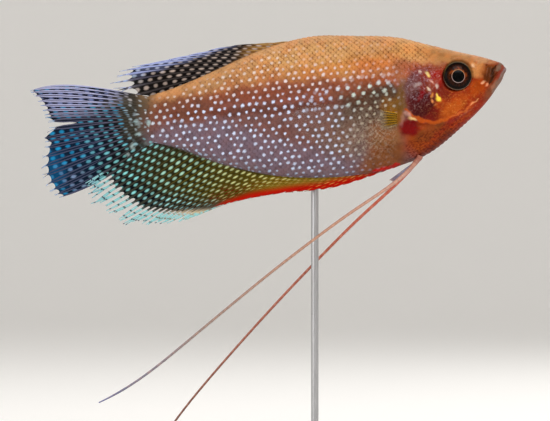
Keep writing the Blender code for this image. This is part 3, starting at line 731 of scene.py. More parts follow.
FIN_WEB_TINTS = Palette(
    # the near-black ground is painted shade: the dark seen through a clear membrane, not a colour of the membrane
    # itself
    ground="#0a0d12",
    ragged=0.8,
    layers=(
        # the belly fin
        Patch("#38300c", (62, -17), (25, 8), 14, 0.7),
        Patch("#4f420a", (50, -20.6), (15, 2.4), 6, 0.9),
        Patch("#22200e", (79, -13.4), (9, 6), 24, 0.9, 0.9),
        Wash(
            "#6a1606",
            (30, 42, 54, 64, 70, 76),
            (-20, -20.7, -20.2, -20.2, -21.6, -34),
            3.4,
            above=False,
            strength=0.75,
        ),
        Wash("#a60c04", (30, 42, 54, 62, 68, 76), (-20.8, -21.8, -22.2, -23.6, -27, -36), 1.8, above=False),
        Patch("#b40c04", (34, -22.4), (9, 2.6), 0, 0.7),
        # the tail fin
        Patch("#312e25", (88.6, 0.2), (3.8, 6.8), 0, 1, 0.95),
        Patch("#4e473c", (91, 4.6), (7, 1.4), -2, 0.9, 0.8),
        Patch("#141627", (104, 6.4), (11, 2.6), 4, 0.8, 0.85),
        Patch("#06223a", (106, -8), (9, 9), 0, 0.9, 0.6),
        Patch("#08466e", (108.6, -9.6), (2.6, 6), -18, 0.9, 0.8),
        Patch("#9db9bd", (87.9, -1.6), (0.7, 1.25), 0, 0.5, 0.9),
        Patch("#98b4b2", (87.9, -4.4), (0.7, 0.8), 0, 0.5, 0.9),
        Patch("#96a8a6", (89.4, -6.5), (0.8, 0.6), 30, 0.5, 0.9),
        Patch("#94a2a2", (90.3, -9), (0.8, 0.6), 40, 0.5, 0.9),
        Patch("#8a98a0", (89, 1.2), (0.5, 0.7), 0, 0.9, 0.8),
        # the back fin
        Patch("#7e552a", (56, 13), (8, 1.9), -10, 0.9),
        Patch("#0d0a09", (76, 9), (14, 4), -16, 0.7),
        Patch("#474c66", (72, 13.8), (19, 1.1), -11, 0.9, 0.8),
    ),
)

FIN_SPOT_TINTS = Palette(
    ground="#237fa8",
    ragged=0.8,
    layers=(
        Patch("#5d9cae", (97, -5), (5, 8), 0, 1, 0.8),
        Patch("#1b86bc", (107, -9), (5, 8), -12, 0.9, 0.8),
        Patch("#7c86a6", (101, -14), (7, 3), 30, 0.9, 0.8),
        Patch("#84d0ce", (84, -16), (14, 9), 20, 0.9),
        Patch("#9cc4ac", (72, -15), (13, 9), 20, 0.9),
        Patch("#b0bc88", (60, -18), (12, 8), 0, 0.9),
        Patch("#c6c27c", (48, -20), (17, 5), 6, 0.9),
        Patch("#dc8840", (40, -23), (17, 2.6), 2, 0.9, 0.9),
        Patch("#a08a50", (64, -22.4), (8, 2.2), 8, 0.9, 0.9),
        Patch("#9fd2d4", (84, -25), (20, 5), 10, 0.9, 0.85),
        Patch("#d9b07c", (60, -25.6), (8, 1.4), 6, 0.9, 0.8),
        Patch("#6c76a2", (103, 6.6), (14, 2.4), 4, 0.9),
        Patch("#a9b0ae", (88, 0.6), (3.4, 7), 0, 0.9, 0.8),
        Patch("#ac9a90", (72, 10.6), (20, 5), -14, 0.6),
        Patch("#b5bcd8", (78, 13.2), (18, 1.5), -11, 0.9, 0.85),
    ),
)

FIN_RAY_TINTS = Palette(
    ground="#565468",
    layers=(
        Patch("#3c4560", (103, -9), (8, 9), 0, 0.9, 0.8),
        Patch("#34362e", (82, -16), (15, 10), 20, 0.8),
        Patch("#4d4212", (60, -18.6), (24, 8), 12, 0.8),
        Patch("#7e6a1e", (46, -20.6), (14, 3), 0, 0.9),
        Wash("#a81406", (30, 42, 54, 64, 70, 76), (-20.4, -21.3, -21.4, -22.2, -24.6, -34), 1.8, above=False),
        Patch("#d9c6a4", (68, -26.6), (14, 1.6), 8, 0.9, 0.85),
        # the tail's upper lobe: pale lavender rays, a painted sheen of its folded membrane
        Patch("#b6b8dc", (104, 7), (14, 4), 4, 0.9, 0.85),
        Patch("#5e574d", (88.6, 0.8), (4.4, 7), 0, 0.9, 0.8),
        Patch("#332c24", (72, 10), (18, 4), -14, 0.8, 0.9),
        Patch("#9aa4d2", (76, 13.6), (20, 1.5), -11, 0.9),
        Patch("#a8824c", (56, 13), (7, 1.6), -8, 0.9, 0.9),
    ),
)


@dataclass(frozen=True)
class HeadForm:
    """The small forms of the head, in millimetres."""

    eye: tuple[float, float] = (11.7, -0.25)
    eye_radius: float = 3.45
    eye_depth: float = 1.5
    eye_sunk: float = 0.5
    socket_depth: float = 1.5
    socket_radius: float = 3.9
    rim_height: float = 0.2
    rim_radius: float = 4.05
    fold_radius: float = 4.9
    throat_pitch: float = 0.95
    crease_pitch: float = 0.75
    upper_lip: tuple = ((1.4, 1.3), (3.9, -1.9), 2.55, 0.5)  # front, corner, half width at the corner, radius
    lower_lip: tuple = ((0.3, 0.0), (3.2, -2.8), 2.3, 0.64)
    tube_nostril: tuple[float, float, float] = (4.6, 1.45, 0.24)
    pit_nostril: tuple[float, float, float] = (7.1, 2.35, 0.3)

    def lip_line(self, lip: tuple) -> Array:
        """The middle line of one lip's left half, in millimetres."""
        front, corner, half, _ = lip
        share = np.linspace(0, 1, 17)
        back = front[0] + (corner[0] - front[0]) * share**1.7
        height = front[1] + (corner[1] - front[1]) * share**1.2
        return in_space(back, half * np.sin(share * np.pi / 2), height)

    def lips(self, points: Array, normals: Array) -> Array:
        """How far the skin swells outwards to form the two lips, for points in millimetres."""
        swell = np.zeros(points.shape[:-1])
        for lip in (self.upper_lip, self.lower_lip):
            line = self.lip_line(lip)
            _, share = line_distance(points, line)
            radius = lip[3] * (1 - 0.45 * share**2)
            spot = share * (len(line) - 1)
            centre = np.stack([np.interp(spot, np.arange(len(line)), line[:, k]) for k in range(3)], axis=-1)
            aside = points - centre
            along = (aside * normals).sum(-1)
            inside = along**2 - (aside**2).sum(-1) + radius**2
            rise = np.where(inside > 0, -along + np.sqrt(np.maximum(inside, 0)), 0)
            swell = np.maximum(swell, np.clip(rise, 0, radius * 1.3))
        return swell

    def relief(self, form: BodyForm, points: Array, normals: Array, back: Array, height: Array) -> Array:
        """How far the skin of the head stands out from the plain body.

        Args:
            form: The body's sizes.
            points: The plain body's points, in millimetres.
            normals: Its outward normals.
            back: Each point's distance behind the snout.
            height: Each point's height above the axis.

        Returns:
            The rise at each point, in millimetres, below 0 where it sinks.
        """
        eye = np.hypot(back - self.eye[0], height - self.eye[1])
        rise = -self.socket_depth * eased((self.socket_radius - eye) / 0.5)
        rise = rise + self.rim_height * bump(eye - self.rim_radius, 0.26) + 0.06 * bump(eye - self.fold_radius, 0.25)
        depth = form.cheek_depth(back, height)
        behind = eased((back - 8) / 5)
        rise -= 0.13 * bump(depth + 0.35, 0.3) * behind
        rise += 0.07 * bump(depth - 1.25, 0.3) * behind
        rise += 0.09 * bump(depth - 4.1, 0.35) * eased((back - 14) / 3) * eased((4 - height) / 2)
        for middle, up, radius in (self.tube_nostril, self.pit_nostril):
            far = np.hypot(back - middle, height - up)
            rise += 0.16 * bump(far - radius * 1.5, radius * 0.6) - 0.4 * eased((radius * 1.2 - far) / radius)
        throat = eased((-height - 6.5 - 0.32 * back) / 2) * eased((back - 6) / 4) * eased((25 - back) / 3)
        rise += 0.05 * np.sin((height * 0.94 - back * 0.32) * 2 * np.pi / self.throat_pitch) * throat
        fold = bump(np.hypot((back - 4.1) / 1.5, (height + 0.6) / 2.1), 0.9)
        rise += (0.07 * np.sin((back * 0.93 + height * 0.2) * 2 * np.pi / self.crease_pitch) - 0.16) * fold
        jaw = np.abs(height + 2.4 + 1.05 * (back - 3.2)) / 1.45
        rise -= 0.1 * bump(jaw, 0.3) * eased((back - 3) / 1.2) * eased((9 - back) / 3)
        return rise + self.lips(points, normals)


class BodySurface:
    """The left half of the fish's skin as a table of points, from which any place on either side can be read."""

    TURNS = 721  # where the outline is measured, from ridge to keel
    FILM = 0.03  # how far the bare skin lies inside the solid body

    def __init__(self, form: BodyForm, head: HeadForm, backs: Array, rows: int, coat: float) -> None:
        """Builds the table.

        Args:
            form: The body's sizes.
            head: The head's small forms.
            backs: Where the rings are, behind the snout.
            rows: Points down each half ring, ridge and keel included.
            coat: How far the skin lies inside the solid body where scales cover it.
        """
        self.backs, self.rows = backs, rows
        turn = np.linspace(0, np.pi, self.TURNS)
        heights, sides = self.outline(form, backs[:, None], turn[None, :])
        steps = np.hypot(np.diff(heights, axis=1), np.diff(sides, axis=1))
        arc = np.concatenate([np.zeros((len(backs), 1)), np.cumsum(steps, axis=1)], axis=1)
        self.around = arc[:, -1]
        even = np.linspace(0, 1, rows)
        turns = np.array([np.interp(even * a[-1], a, turn) for a in arc])
        self.axis_arc = np.array([np.interp(0, -h, a) for h, a in zip(heights, arc, strict=True)])
        self.height, side = self.outline(form, backs[:, None], turns)
        self.back = np.repeat(backs[:, None], rows, axis=1)
        points = in_space(self.back, side, self.height)
        normals = self.normals_of(points)
        covered = eased((self.back - 15) / 12)
        rise = -self.FILM - (coat - self.FILM) * covered
        rise = rise + head.relief(form, points, normals, self.back, self.height)
        self.points = points + normals * rise[..., None]
        self.points[:, (0, -1), 1] = 0
        self.normals = self.normals_of(self.points)

    @staticmethod
    def outline(form: BodyForm, back: Array, turn: Array) -> tuple[Array, Array]:
        """Height and half width of the body's outline at turns from its ridge."""
        widest = form.size(back, form.widest)
        above = np.cos(turn) >= 0
        reach = np.where(above, form.size(back, form.top) - widest, form.size(back, form.bottom) + widest)
        height = widest + reach * np.cos(turn)
        width = form.half_width(back + 0 * turn, height)
        return height, np.where(np.sin(turn) < 1e-9, 0.0, width)

    @staticmethod
    def normals_of(points: Array) -> Array:
        """Outward normals of the table's points, level across the ridge and the keel."""
        along = np.gradient(points, axis=0)
        down = np.gradient(points, axis=1)
        normals = np.cross(down, along)
        normals[:, (0, -1), 1] = 0
        normals /= np.maximum(np.linalg.norm(normals, axis=-1, keepdims=True), 1e-12)
        return normals * np.where(normals[len(points) // 2, points.shape[1] // 2, 1] < 0, -1, 1)

    def read(self, table: Array, back: Array, share: Array) -> Array:
        """A table's value between its rings and rows."""
        i = np.clip(np.searchsorted(self.backs, back) - 1, 0, len(self.backs) - 2)
        a = np.clip((back - self.backs[i]) / (self.backs[i + 1] - self.backs[i]), 0, 1)
        place = np.clip(share, 0, 1) * (self.rows - 1)
        j = np.minimum(place.astype(int), self.rows - 2)
        c = place - j
        if table.ndim == 3:
            a, c = a[:, None], c[:, None]
        upper = table[i, j] * (1 - a) + table[i + 1, j] * a
        lower = table[i, j + 1] * (1 - a) + table[i + 1, j + 1] * a
        return upper * (1 - c) + lower * c

    def share_of(self, back: Array, arc: Array) -> Array:
        """The share of the way from ridge to keel of a place told by its distance over the skin above the axis."""
        around = np.interp(back, self.backs, self.around)
        return (np.interp(back, self.backs, self.axis_arc) - arc) / around

    def lay(self, back: Array, arc: Array, lift: Array, side: Side) -> Array:
        """Wraps flat places round the fish.

        Args:
            back: Distance behind the snout.
            arc: Distance over the skin above the axis; past the ridge or keel it goes on down the other side.
            lift: Distance out from the skin.
            side: The side of the fish.

        Returns:
            The points in metres.
        """
        share = self.share_of(back, arc)
        over = (share < 0) | (share > 1)
        share = np.where(share < 0, -share, np.where(share > 1, 2 - share, share))
        points = self.read(self.points, back, share)
        normals = self.read(self.normals, back, share)
        points = points + normals / np.linalg.norm(normals, axis=1, keepdims=True) * lift[:, None]
        points[:, 1] *= np.where(over, -1, 1) * side.value
        return points * MM

    def unwrapped(self, back: Array, share: Array, side: Side) -> Array:
        """Where places of the skin lie on its own unwrap, a square with the two sides one above the other."""
        across = UNWRAP_MARGIN + (1 - 2 * UNWRAP_MARGIN) * back / BODY_LENGTH
        half = UNWRAP_MARGIN + (0.5 - 2 * UNWRAP_MARGIN) * np.clip(share, 0, 1)
        return np.stack([across, half if side is Side.RIGHT else half + 0.5], axis=-1)


TRUNK_START = 24.2
NET_START = (16.5, 24.0)  # on the nape, and on the flank


def marks(back: Array, height: Array, top: Array) -> Array:
    """Where the body carries its markings.

    Args:
        back: Distance behind the snout.
        height: Height above the axis.
        top: The ridge's height there.

    Returns:
        For each place the strength of small pearls, of large pearls or the head's glints, of dark scale edges, and of
        the bare head.
    """
    trunk = eased((back - TRUNK_START - 0.1 * np.abs(height + 4)) / np.where(height < 1, 4.5, 2.5))
    below_ridge = top - height
    clear = eased((below_ridge - 3.5 - 2.7 * eased((42 - back) / 10)) / 5)
    clear = np.maximum(clear, 0.95 * eased((back - 46) / 12))
    shade = eased((below_ridge - 0.6) / 2.2) * (0.35 + 0.65 * clear)
    bare_belly = 1 - 0.85 * eased((39 - back) / 8) * eased((-height - 6.5) / 4)
    shoulder = bump(np.hypot((back - 37.0) / 9.0, (height + 1.2 + 0.12 * (back - 37)) / 2.6), 1.0)
    small = trunk * shade * bare_belly * (1 - 0.9 * eased(shoulder * 1.5))
    gill_cover = mound(back, height, (21.8, -0.6), (2.8, 4.8))
    gill_cover = np.maximum(gill_cover, 0.9 * mound(back, height, (18.4, 1.4), (3.6, 2.6)))
    gill_cover = np.maximum(gill_cover, 0.45 * mound(back, height, (19.2, -4.0), (4.6, 4.4)))
    jaw = 0.75 * mound(back, height, (12.0, -7.0), (6.0, 4.0))
    large = trunk * eased(shoulder * 2.0) + (1 - trunk) * np.maximum(gill_cover, jaw)
    start = np.where(height > 3, *NET_START)
    net = 0.4 + 0.6 * eased((10.5 - below_ridge) / 6) * eased((80 - back) / 30)
    net *= eased((back - start) / 5) * (0.4 + 0.6 * eased((below_ridge - 0.3) / 1.5))
    throat = eased((-height - 5.4 - 0.36 * back) / 1.2) * eased((back - 8) / 4) * eased((24.3 - back) / 0.6)
    net = np.maximum(net, throat)
    return np.stack([small, large, net, 1 - trunk], axis=1)


@dataclass(frozen=True)
class FleshFinish:
    """The wet skin and its scales: painted tints, pearls, dark scale edges and fine grain."""

    name: str
    on_scales: bool
    pearl_pitch: float = 1.86
    large_pitch: float = 2.45
    pearl_cover: float = 0.94
    pearl_rise: float = 0.00006
    grain_rise: float = 0.00005
    wetness: float = 0.1
    roughness: float = 0.48

    def material(self) -> Material:
        """Builds the material."""
        g = ShaderGraph(self.name)
        place = g.attribute("Place", "Vector")
        small, large, net = g.node("ShaderNodeSeparateColor", {0: g.attribute("Marks")}).outputs
        bare = g.attribute("Marks", "Alpha")
        colour = g.attribute("Tint")

        cloud = g.noise(place, 0.55, 4.0, 0.6)
        grain = g.noise(place, 5.5, 3.0, 0.7)
        colour = g.mix(g.times(g.step(cloud, 0.42, 0.72), 0.3), colour, tint("#5a2a16"), "MULTIPLY")
        colour = g.mix(g.step(grain, 0.45, 0.8), colour, (1.45, 1.38, 1.3, 1.0), "MULTIPLY")
        flush = g.step(g.noise(place, 0.3, 3.0, 0.65), 0.42, 0.62)
        colour = g.mix(g.times(flush, 0.8), colour, (1.12, 0.94, 0.86, 1.0), "MULTIPLY")
        glint = g.attribute("Pearl")
        shine = g.times(bare, large)
        patchy = g.step(g.noise(place, 0.7, 3.0, 0.6), 0.38, 0.56)
        fleck = g.step(g.noise(place, 1.15, 4.0, 0.8), 0.54, 0.63)
        flecked = g.times(g.times(fleck, patchy), 0.9)
        veil = g.times(g.step(g.noise(place, 1.6, 4.0, 0.7), 0.46, 0.7), 0.4)
        colour = g.mix(g.times(g.math("MAXIMUM", flecked, veil), shine), colour, glint)

        if self.on_scales:
            u, v, _ = g.parts(g.attribute("Blade", "Vector"))
            side_edge = g.times(g.step(g.math("ABSOLUTE", v), 0.56, 0.78), 0.85)
            rear_edge = g.step(u, 0.79, 0.91)
            edge = g.math("MAXIMUM", side_edge, rear_edge)
            worn = g.times_plus(g.step(cloud, 0.36, 0.6), 0.55, 0.4)
            dark = g.times(g.times(edge, net), worn)
            colour = g.mix(dark, colour, tint("#8c6436"), "MULTIPLY")
        else:
            x, y, _ = g.parts(place)
            along = g.times_plus(y, -0.45, g.times(x, 0.7))
            across = g.times_plus(y, 1.3, g.times(x, 0.75))
            cell = g.cells(g.joined(along, across), 1.7, 0.7)
            lines = g.times(g.step(cell, 0.3, 0.66), net)
            colour = g.mix(g.times(lines, 0.7), colour, tint("#a0603c"), "MULTIPLY")
        vein = g.math("ABSOLUTE", g.minus(g.noise(place, 0.8, 3.0, 0.7), 0.5))
        vein = g.times(g.step(vein, 0.035, 0.01), g.attribute("Veins", "Fac"))
        colour = g.mix(g.times(vein, 0.5), colour, tint("#b8a896"))

        mask = self.pearls(g, place, self.pearl_pitch, 0.36, small, 0.0)
        broad = self.pearls(g, place, self.large_pitch, 0.3, g.minus(large, shine), 0.4)
        pearl = g.math("MAXIMUM", mask, broad)
        colour = g.mix(g.times(pearl, self.pearl_cover), colour, glint)
        bent = g.relief(pearl, self.pearl_rise, g.relief(g.noise(place, 3.2, 4.0, 0.65), self.grain_rise))
        return g.finish(
            Base_Color=colour,
            Roughness=self.roughness,
            Normal=bent,
            Coat_Weight=self.wetness,
            Coat_Roughness=0.12,
            Specular_IOR_Level=0.04,
        )

    @staticmethod
    def pearls(
        g: ShaderGraph, place: object, pitch: float, uneven: float, strength: object, shift: float
    ) -> Socket:
        """Scattered round spots.

        Args:
            g: The material's tree.
            place: Where on the skin, in millimetres.
            pitch: The usual space between spots.
            uneven: How far they stray from even rows.
            strength: How strongly they show at each place.
            shift: Moves the rows, so that two sets don't match.

        Returns:
            The spots' cover.
        """
        x, y, _ = g.parts(place)
        row_pitch = pitch * 0.84
        rows = g.plus(g.math("DIVIDE", y, row_pitch), 100.0 + shift)
        row = g.math("FLOOR", rows)
        along = g.times_plus(row, 0.5, g.math("DIVIDE", x, pitch))
        cell = g.math("FLOOR", along)
        chance = g.node("ShaderNodeTexWhiteNoise", {"Vector": g.joined(cell, row)}, noise_dimensions="2D")
        aside, up, size = g.node("ShaderNodeSeparateColor", {0: chance.outputs["Color"]}).outputs
        dx = g.times(g.minus(g.minus(along, cell), 0.5), pitch)
        dx = g.times_plus(g.minus(aside, 0.5), uneven * pitch, dx)
        dy = g.times(g.minus(g.minus(rows, row), 0.5), row_pitch)
        dy = g.times_plus(g.minus(up, 0.5), uneven * row_pitch, dy)
        far = g.span(dx, dy)
        ragged = g.noise(place, 2.6, 2.0, 0.6)
        radius = g.times(g.times_plus(size, 0.085, 0.178), pitch)
        far = g.times_plus(ragged, 1.5, g.math("DIVIDE", far, radius))
        spot = g.step(far, 2.0, 1.15)
        shown = g.times(g.math("GREATER_THAN", size, 0.05), g.times_plus(aside, 0.35, 0.72))
        return g.times(g.times(spot, shown), strength)


@dataclass
class Skin:
    """One smooth skin over head, torso and tail stem."""

    form: BodyForm
    head: HeadForm
    head_rings: int = 150
    trunk_rings: int = 118
    rows: int = 131
    head_end: float = 27.0
    crowding: float = 1.45
    coat: float = 0.24
    finish: FleshFinish = FleshFinish("wet_skin", on_scales=False)

    def __post_init__(self) -> None:
        """Lays the rings out, close together at the snout."""
        share = np.linspace(0, 1, self.head_rings + 1)[1:]
        near = self.head_end * share**self.crowding
        trunk = np.linspace(self.head_end, BODY_LENGTH, self.trunk_rings)[1:]
        self.surface = BodySurface(self.form, self.head, np.concatenate([near, trunk]), self.rows, self.coat)

    def build(self) -> Object:
        """Makes the closed skin and dresses it."""
        table = self.surface
        left = table.points
        right = left[:, -2:0:-1] * (1, -1, 1)
        rings = np.concatenate([left, right], axis=1)
        count, around = rings.shape[:2]
        snout = rings[0].mean(0) + (0.02, 0, 0)
        root = rings[-1].mean(0)
        points = np.concatenate([rings.reshape(-1, 3), [snout, root]])
        tip, end = len(points) - 2, len(points) - 1
        last = (count - 1) * around
        faces = ring_quads(count, around).tolist()
        faces += [[tip, (k + 1) % around, k] for k in range(around)]
        faces += [[end, last + k, last + (k + 1) % around] for k in range(around)]
        mesh = new_mesh("fish_skin", points * MM, faces)
        self.paint(mesh, count, around)
        mesh.materials.append(self.finish.material())
        return place_piece(mesh, ("head", "torso", "tail_stem"))

    def paint(self, mesh: Mesh, count: int, around: int) -> None:
        """Writes the skin's tints and markings onto its points."""
        back, height = on_fish(points_of(mesh))
        dress(mesh, self.form, back, height)
        share = np.concatenate([np.linspace(0, 1, self.rows), np.linspace(1, 0, self.rows)[1:-1]])
        along = np.repeat(self.surface.backs, around)
        arc = np.interp(along, self.surface.backs, self.surface.axis_arc)
        arc = arc - np.tile(share, count) * np.repeat(self.surface.around, around)
        ends = [[0, 0], [BODY_LENGTH, 0]]
        flat = np.concatenate([np.stack([along, arc], axis=1), ends])
        left = np.concatenate([np.tile(np.arange(around) < self.rows, count), [True, True]])
        place = np.column_stack([flat[:, 0] + SIDE_SHIFT * left, flat[:, 1], np.zeros(len(flat))])
        write_attribute(mesh, "Place", place)


def dress(mesh: Mesh, form: BodyForm, back: Array, height: Array) -> None:
    """Writes the body's tints and markings onto a mesh.

    Args:
        mesh: The skin or its scales.
        form: The body's sizes.
        back: Each point's distance behind the snout.
        height: Each point's height above the axis.
    """
    write_attribute(mesh, "Tint", BODY_TINTS.paint(back, height))
    write_attribute(mesh, "Pearl", PEARL_TINTS.paint(back, height))
    write_attribute(mesh, "Marks", marks(back, height, form.size(back, form.top)))
    belly = mound(back, height, (33.0, -11.0), (8.0, 6.0)) * eased((back - 25.5) / 2)
    write_attribute(mesh, "Veins", belly)


@dataclass
class Scales:
    """The overlapping scales of the trunk, nape and breast, each a thin domed plate with its free edge to the rear."""

    skin: Skin
    pitch: float = 1.25
    row_pitch: float = 0.72
    length: float = 1.95
    width: float = 1.62
    lift: float = 0.17
    crown: float = 0.05
    unevenness: float = 0.09
    first: float = 14.5
    last: float = 85.6
    patch: float = 0.003
    seed: int = 7
    finish: FleshFinish = FleshFinish("wet_scales", on_scales=True)

    def roots(self) -> tuple[Array, Array]:
        """Where the scales are rooted, back and arc, and each one's size."""
        spots = []
        surface = self.skin.surface
        form = self.skin.form
        for k, back in enumerate(np.arange(self.first, self.last, self.pitch / 2)):
            top = np.interp(back, surface.backs, surface.axis_arc)
            low = top - np.interp(back, surface.backs, surface.around)
            offset = (k % 2) * self.row_pitch
            rows = np.arange(math.ceil((low - offset) / (2 * self.row_pitch)), (top - offset) / (2 * self.row_pitch))
            arcs = rows * 2 * self.row_pitch + offset
            spots.append(np.stack([np.full(len(arcs), back), arcs], axis=1))
        spots = np.concatenate(spots)
        height = surface.read(surface.height, spots[:, 0], surface.share_of(spots[:, 0], spots[:, 1]))
        bare_head = form.cheek_depth(spots[:, 0], height) > -0.9
        gill_line = 25.2 - 0.32 * (height + 2)
        breast = (height < -9.5) & (spots[:, 0] > 24.4)
        keep = ~bare_head & ((height > 3.0) | (spots[:, 0] > gill_line) | breast)
        keep &= spots[:, 0] > np.where(height > 3, self.first + 0.5 * np.clip(6 - height, 0, 9), 22)
        spots, height = spots[keep], height[keep]
        young = eased((spots[:, 0] - self.first) / 9)
        size = 0.72 + 0.28 * young - 0.22 * eased((spots[:, 0] - 76) / 10)
        return spots, size

    def form_graph(self, material: Material) -> FormGraph:
        """The tree that makes one scale and sets it at every root, on the flat."""
        numbers = {
            "Length": self.length,
            "Width": self.width,
            "Lift": self.lift,
            "Crown": self.crown,
            "Unevenness": self.unevenness,
            "Seed": self.seed,
        }
        g = FormGraph("scale_coat", numbers, material)
        grid = g.node("GeometryNodeMeshGrid", {"Size X": 1.0, "Size Y": 1.0, "Vertices X": 7, "Vertices Y": 7})
        x, y, _ = g.parts(g.out("GeometryNodeInputPosition"))
        back = g.minus(1.0, g.math("POWER", g.minus(0.5, x), 1.5))
        across = g.times(y, 2.0)
        late = g.math("MAXIMUM", g.minus(back, 0.4), 0.0)
        narrow = g.math("SQRT", g.minus(1.0, g.math("POWER", g.math("DIVIDE", late, 0.64), 2.0)))
        half = g.times(g.times(narrow, g.times(g.given["Width"], 0.5)), across)
        edge = g.math("MAXIMUM", g.step(g.math("ABSOLUTE", across), 0.62, 1.0), g.step(back, 0.86, 1.0))
        dome = g.minus(1.0, g.math("POWER", across, 2.0))
        rise = g.times(g.given["Lift"], back)
        rise = g.plus(rise, g.times(g.times(g.given["Crown"], dome), back))
        lift = g.times_plus(g.minus(1.0, edge), rise, g.times(edge, 0.01))
        flat = g.joined(g.times(back, g.given["Length"]), half, lift)
        blade = {"Geometry": grid.outputs["Mesh"], "Name": "Blade", "Value": g.joined(back, across)}
        plate = g.out("GeometryNodeStoreNamedAttribute", blade, data_type="FLOAT_VECTOR", domain="POINT")
        plate = g.out("GeometryNodeSetPosition", {"Geometry": plate, "Position": flat})
        low = g.times(g.given["Unevenness"], -1.0)
        stray = g.node("FunctionNodeRandomValue", {2: low, 3: g.given["Unevenness"], "Seed": g.given["Seed"]})
        turned = g.out("FunctionNodeEulerToRotation", {0: g.joined(0.0, 0.0, stray.outputs[1])})
        placed = {
            "Points": g.given["Geometry"],
            "Instance": plate,
            "Rotation": turned,
            "Scale": g.named("Size"),
        }
        g.close(g.out("GeometryNodeInstanceOnPoints", placed))
        return g

    def build(self) -> list[Object]:
        """Makes the scales of each side, wrapped round the skin and dressed like it."""
        material = self.finish.material()
        spots, size = self.roots()
        pieces = []
        for side in Side:
            flat = np.column_stack([spots, np.zeros(len(spots))])
            source = new_mesh("scale_roots", flat)
            write_attribute(source, "Size", size)
            mesh = self.form_graph(material).run(f"scales_{side.label}", source)
            local = points_of(mesh)
            reach = np.clip(local[:, 0], 0, BODY_LENGTH - 0.05)
            move_points(mesh, self.skin.surface.lay(reach, local[:, 1], local[:, 2], side))
            if side is Side.RIGHT:
                mesh.flip_normals()
            back, height = on_fish(points_of(mesh))
            dress(mesh, self.skin.form, back, height)
            shift = SIDE_SHIFT if side is Side.LEFT else 0.0
            write_attribute(mesh, "Place", np.column_stack([local[:, 0] + shift, local[:, 1], np.zeros(len(local))]))
            self.map_patches(mesh, spots, side)
            pieces.append(place_piece(mesh))
        return pieces

    def map_patches(self, mesh: Mesh, spots: Array, side: Side) -> None:
        """Gives each scale a small patch at its root's place on the skin's unwrap.

        Args:
            mesh: The scales of one side.
            spots: Their roots, in the order that the mesh has them.
            side: That side.
        """
        each = len(mesh.vertices) // len(spots)
        blade = read_vectors(mesh, "Blade")
        share = self.skin.surface.share_of(spots[:, 0], spots[:, 1])
        middles = np.repeat(self.skin.surface.unwrapped(spots[:, 0], share, side), each, axis=0)
        flat = middles + np.stack([blade[:, 0] - 0.5, blade[:, 1] * 0.5], axis=1) * self.patch
        corners = np.zeros(len(mesh.loops), int)
        mesh.loops.foreach_get("vertex_index", corners)
        layer = mesh.uv_layers.new(name="OFBake")
        layer.data.foreach_set("uv", flat[corners].astype(np.float32).ravel())


@dataclass(frozen=True)
class EyeFinish:
    """A dark wet eye: black pupil in a thin beige ring, brown iris with orange flecks, and a pale outer rim."""

    name: str = "wet_eye"
    pupil: float = 0.43
    pupil_drop: float = 0.07

    def material(self) -> Material:
        """Builds the material, which reads the eye's own disc, 1 at its edge."""
        g = ShaderGraph(self.name)
        gaze = g.attribute("Gaze", "Vector")
        x, y, _ = g.parts(gaze)
        low = g.plus(y, self.pupil_drop)
        inner, outer = g.span(x, low), g.span(x, y)
        cloud = g.noise(gaze, 3.0, 4.0, 0.6)
        streak = g.noise(g.joined(g.math("ARCTAN2", y, x), g.times(inner, 0.35)), 7.0, 3.0)
        colour = g.mix(g.step(streak, 0.35, 0.7), tint("#130602"), tint("#2e1004"))
        glow = g.times(g.step(inner, 0.76, 0.5), g.step(cloud, 0.42, 0.6))
        glow = g.times(glow, g.step(y, -0.6, 0.2))
        colour = g.mix(glow, colour, tint("#84380f"))
        colour = g.mix(g.step(outer, 0.72, 0.84), colour, tint("#0b0402"))
        upper_rim = g.mix(g.step(y, -0.3, 0.5), tint("#241b14"), tint("#554220"))
        colour = g.mix(g.step(outer, 0.9, 0.95), colour, upper_rim)
        lower_edge = g.times(g.step(outer, 0.955, 0.985), g.step(y, 0.2, -0.6))
        colour = g.mix(lower_edge, colour, tint("#94806c"))
        edge = g.math("ABSOLUTE", g.minus(inner, self.pupil + 0.02))
        ring = g.step(edge, 0.026, 0.008)
        bright = g.mix(g.step(y, -0.3, 0.35), tint("#a08a86"), tint("#a87848"))
        colour = g.mix(ring, colour, bright)
        hole = g.step(inner, self.pupil + 0.006, self.pupil - 0.012)
        colour = g.mix(hole, colour, tint("#010101"))
        bent = g.relief(g.times(streak, g.step(inner, 0.45, 0.6)), 0.00004)
        shine = {"Coat_Weight": 0.1, "Coat_Roughness": 0.02, "Specular_IOR_Level": 0.02}
        return g.finish(Base_Color=colour, Roughness=0.35, Normal=bent, **shine)


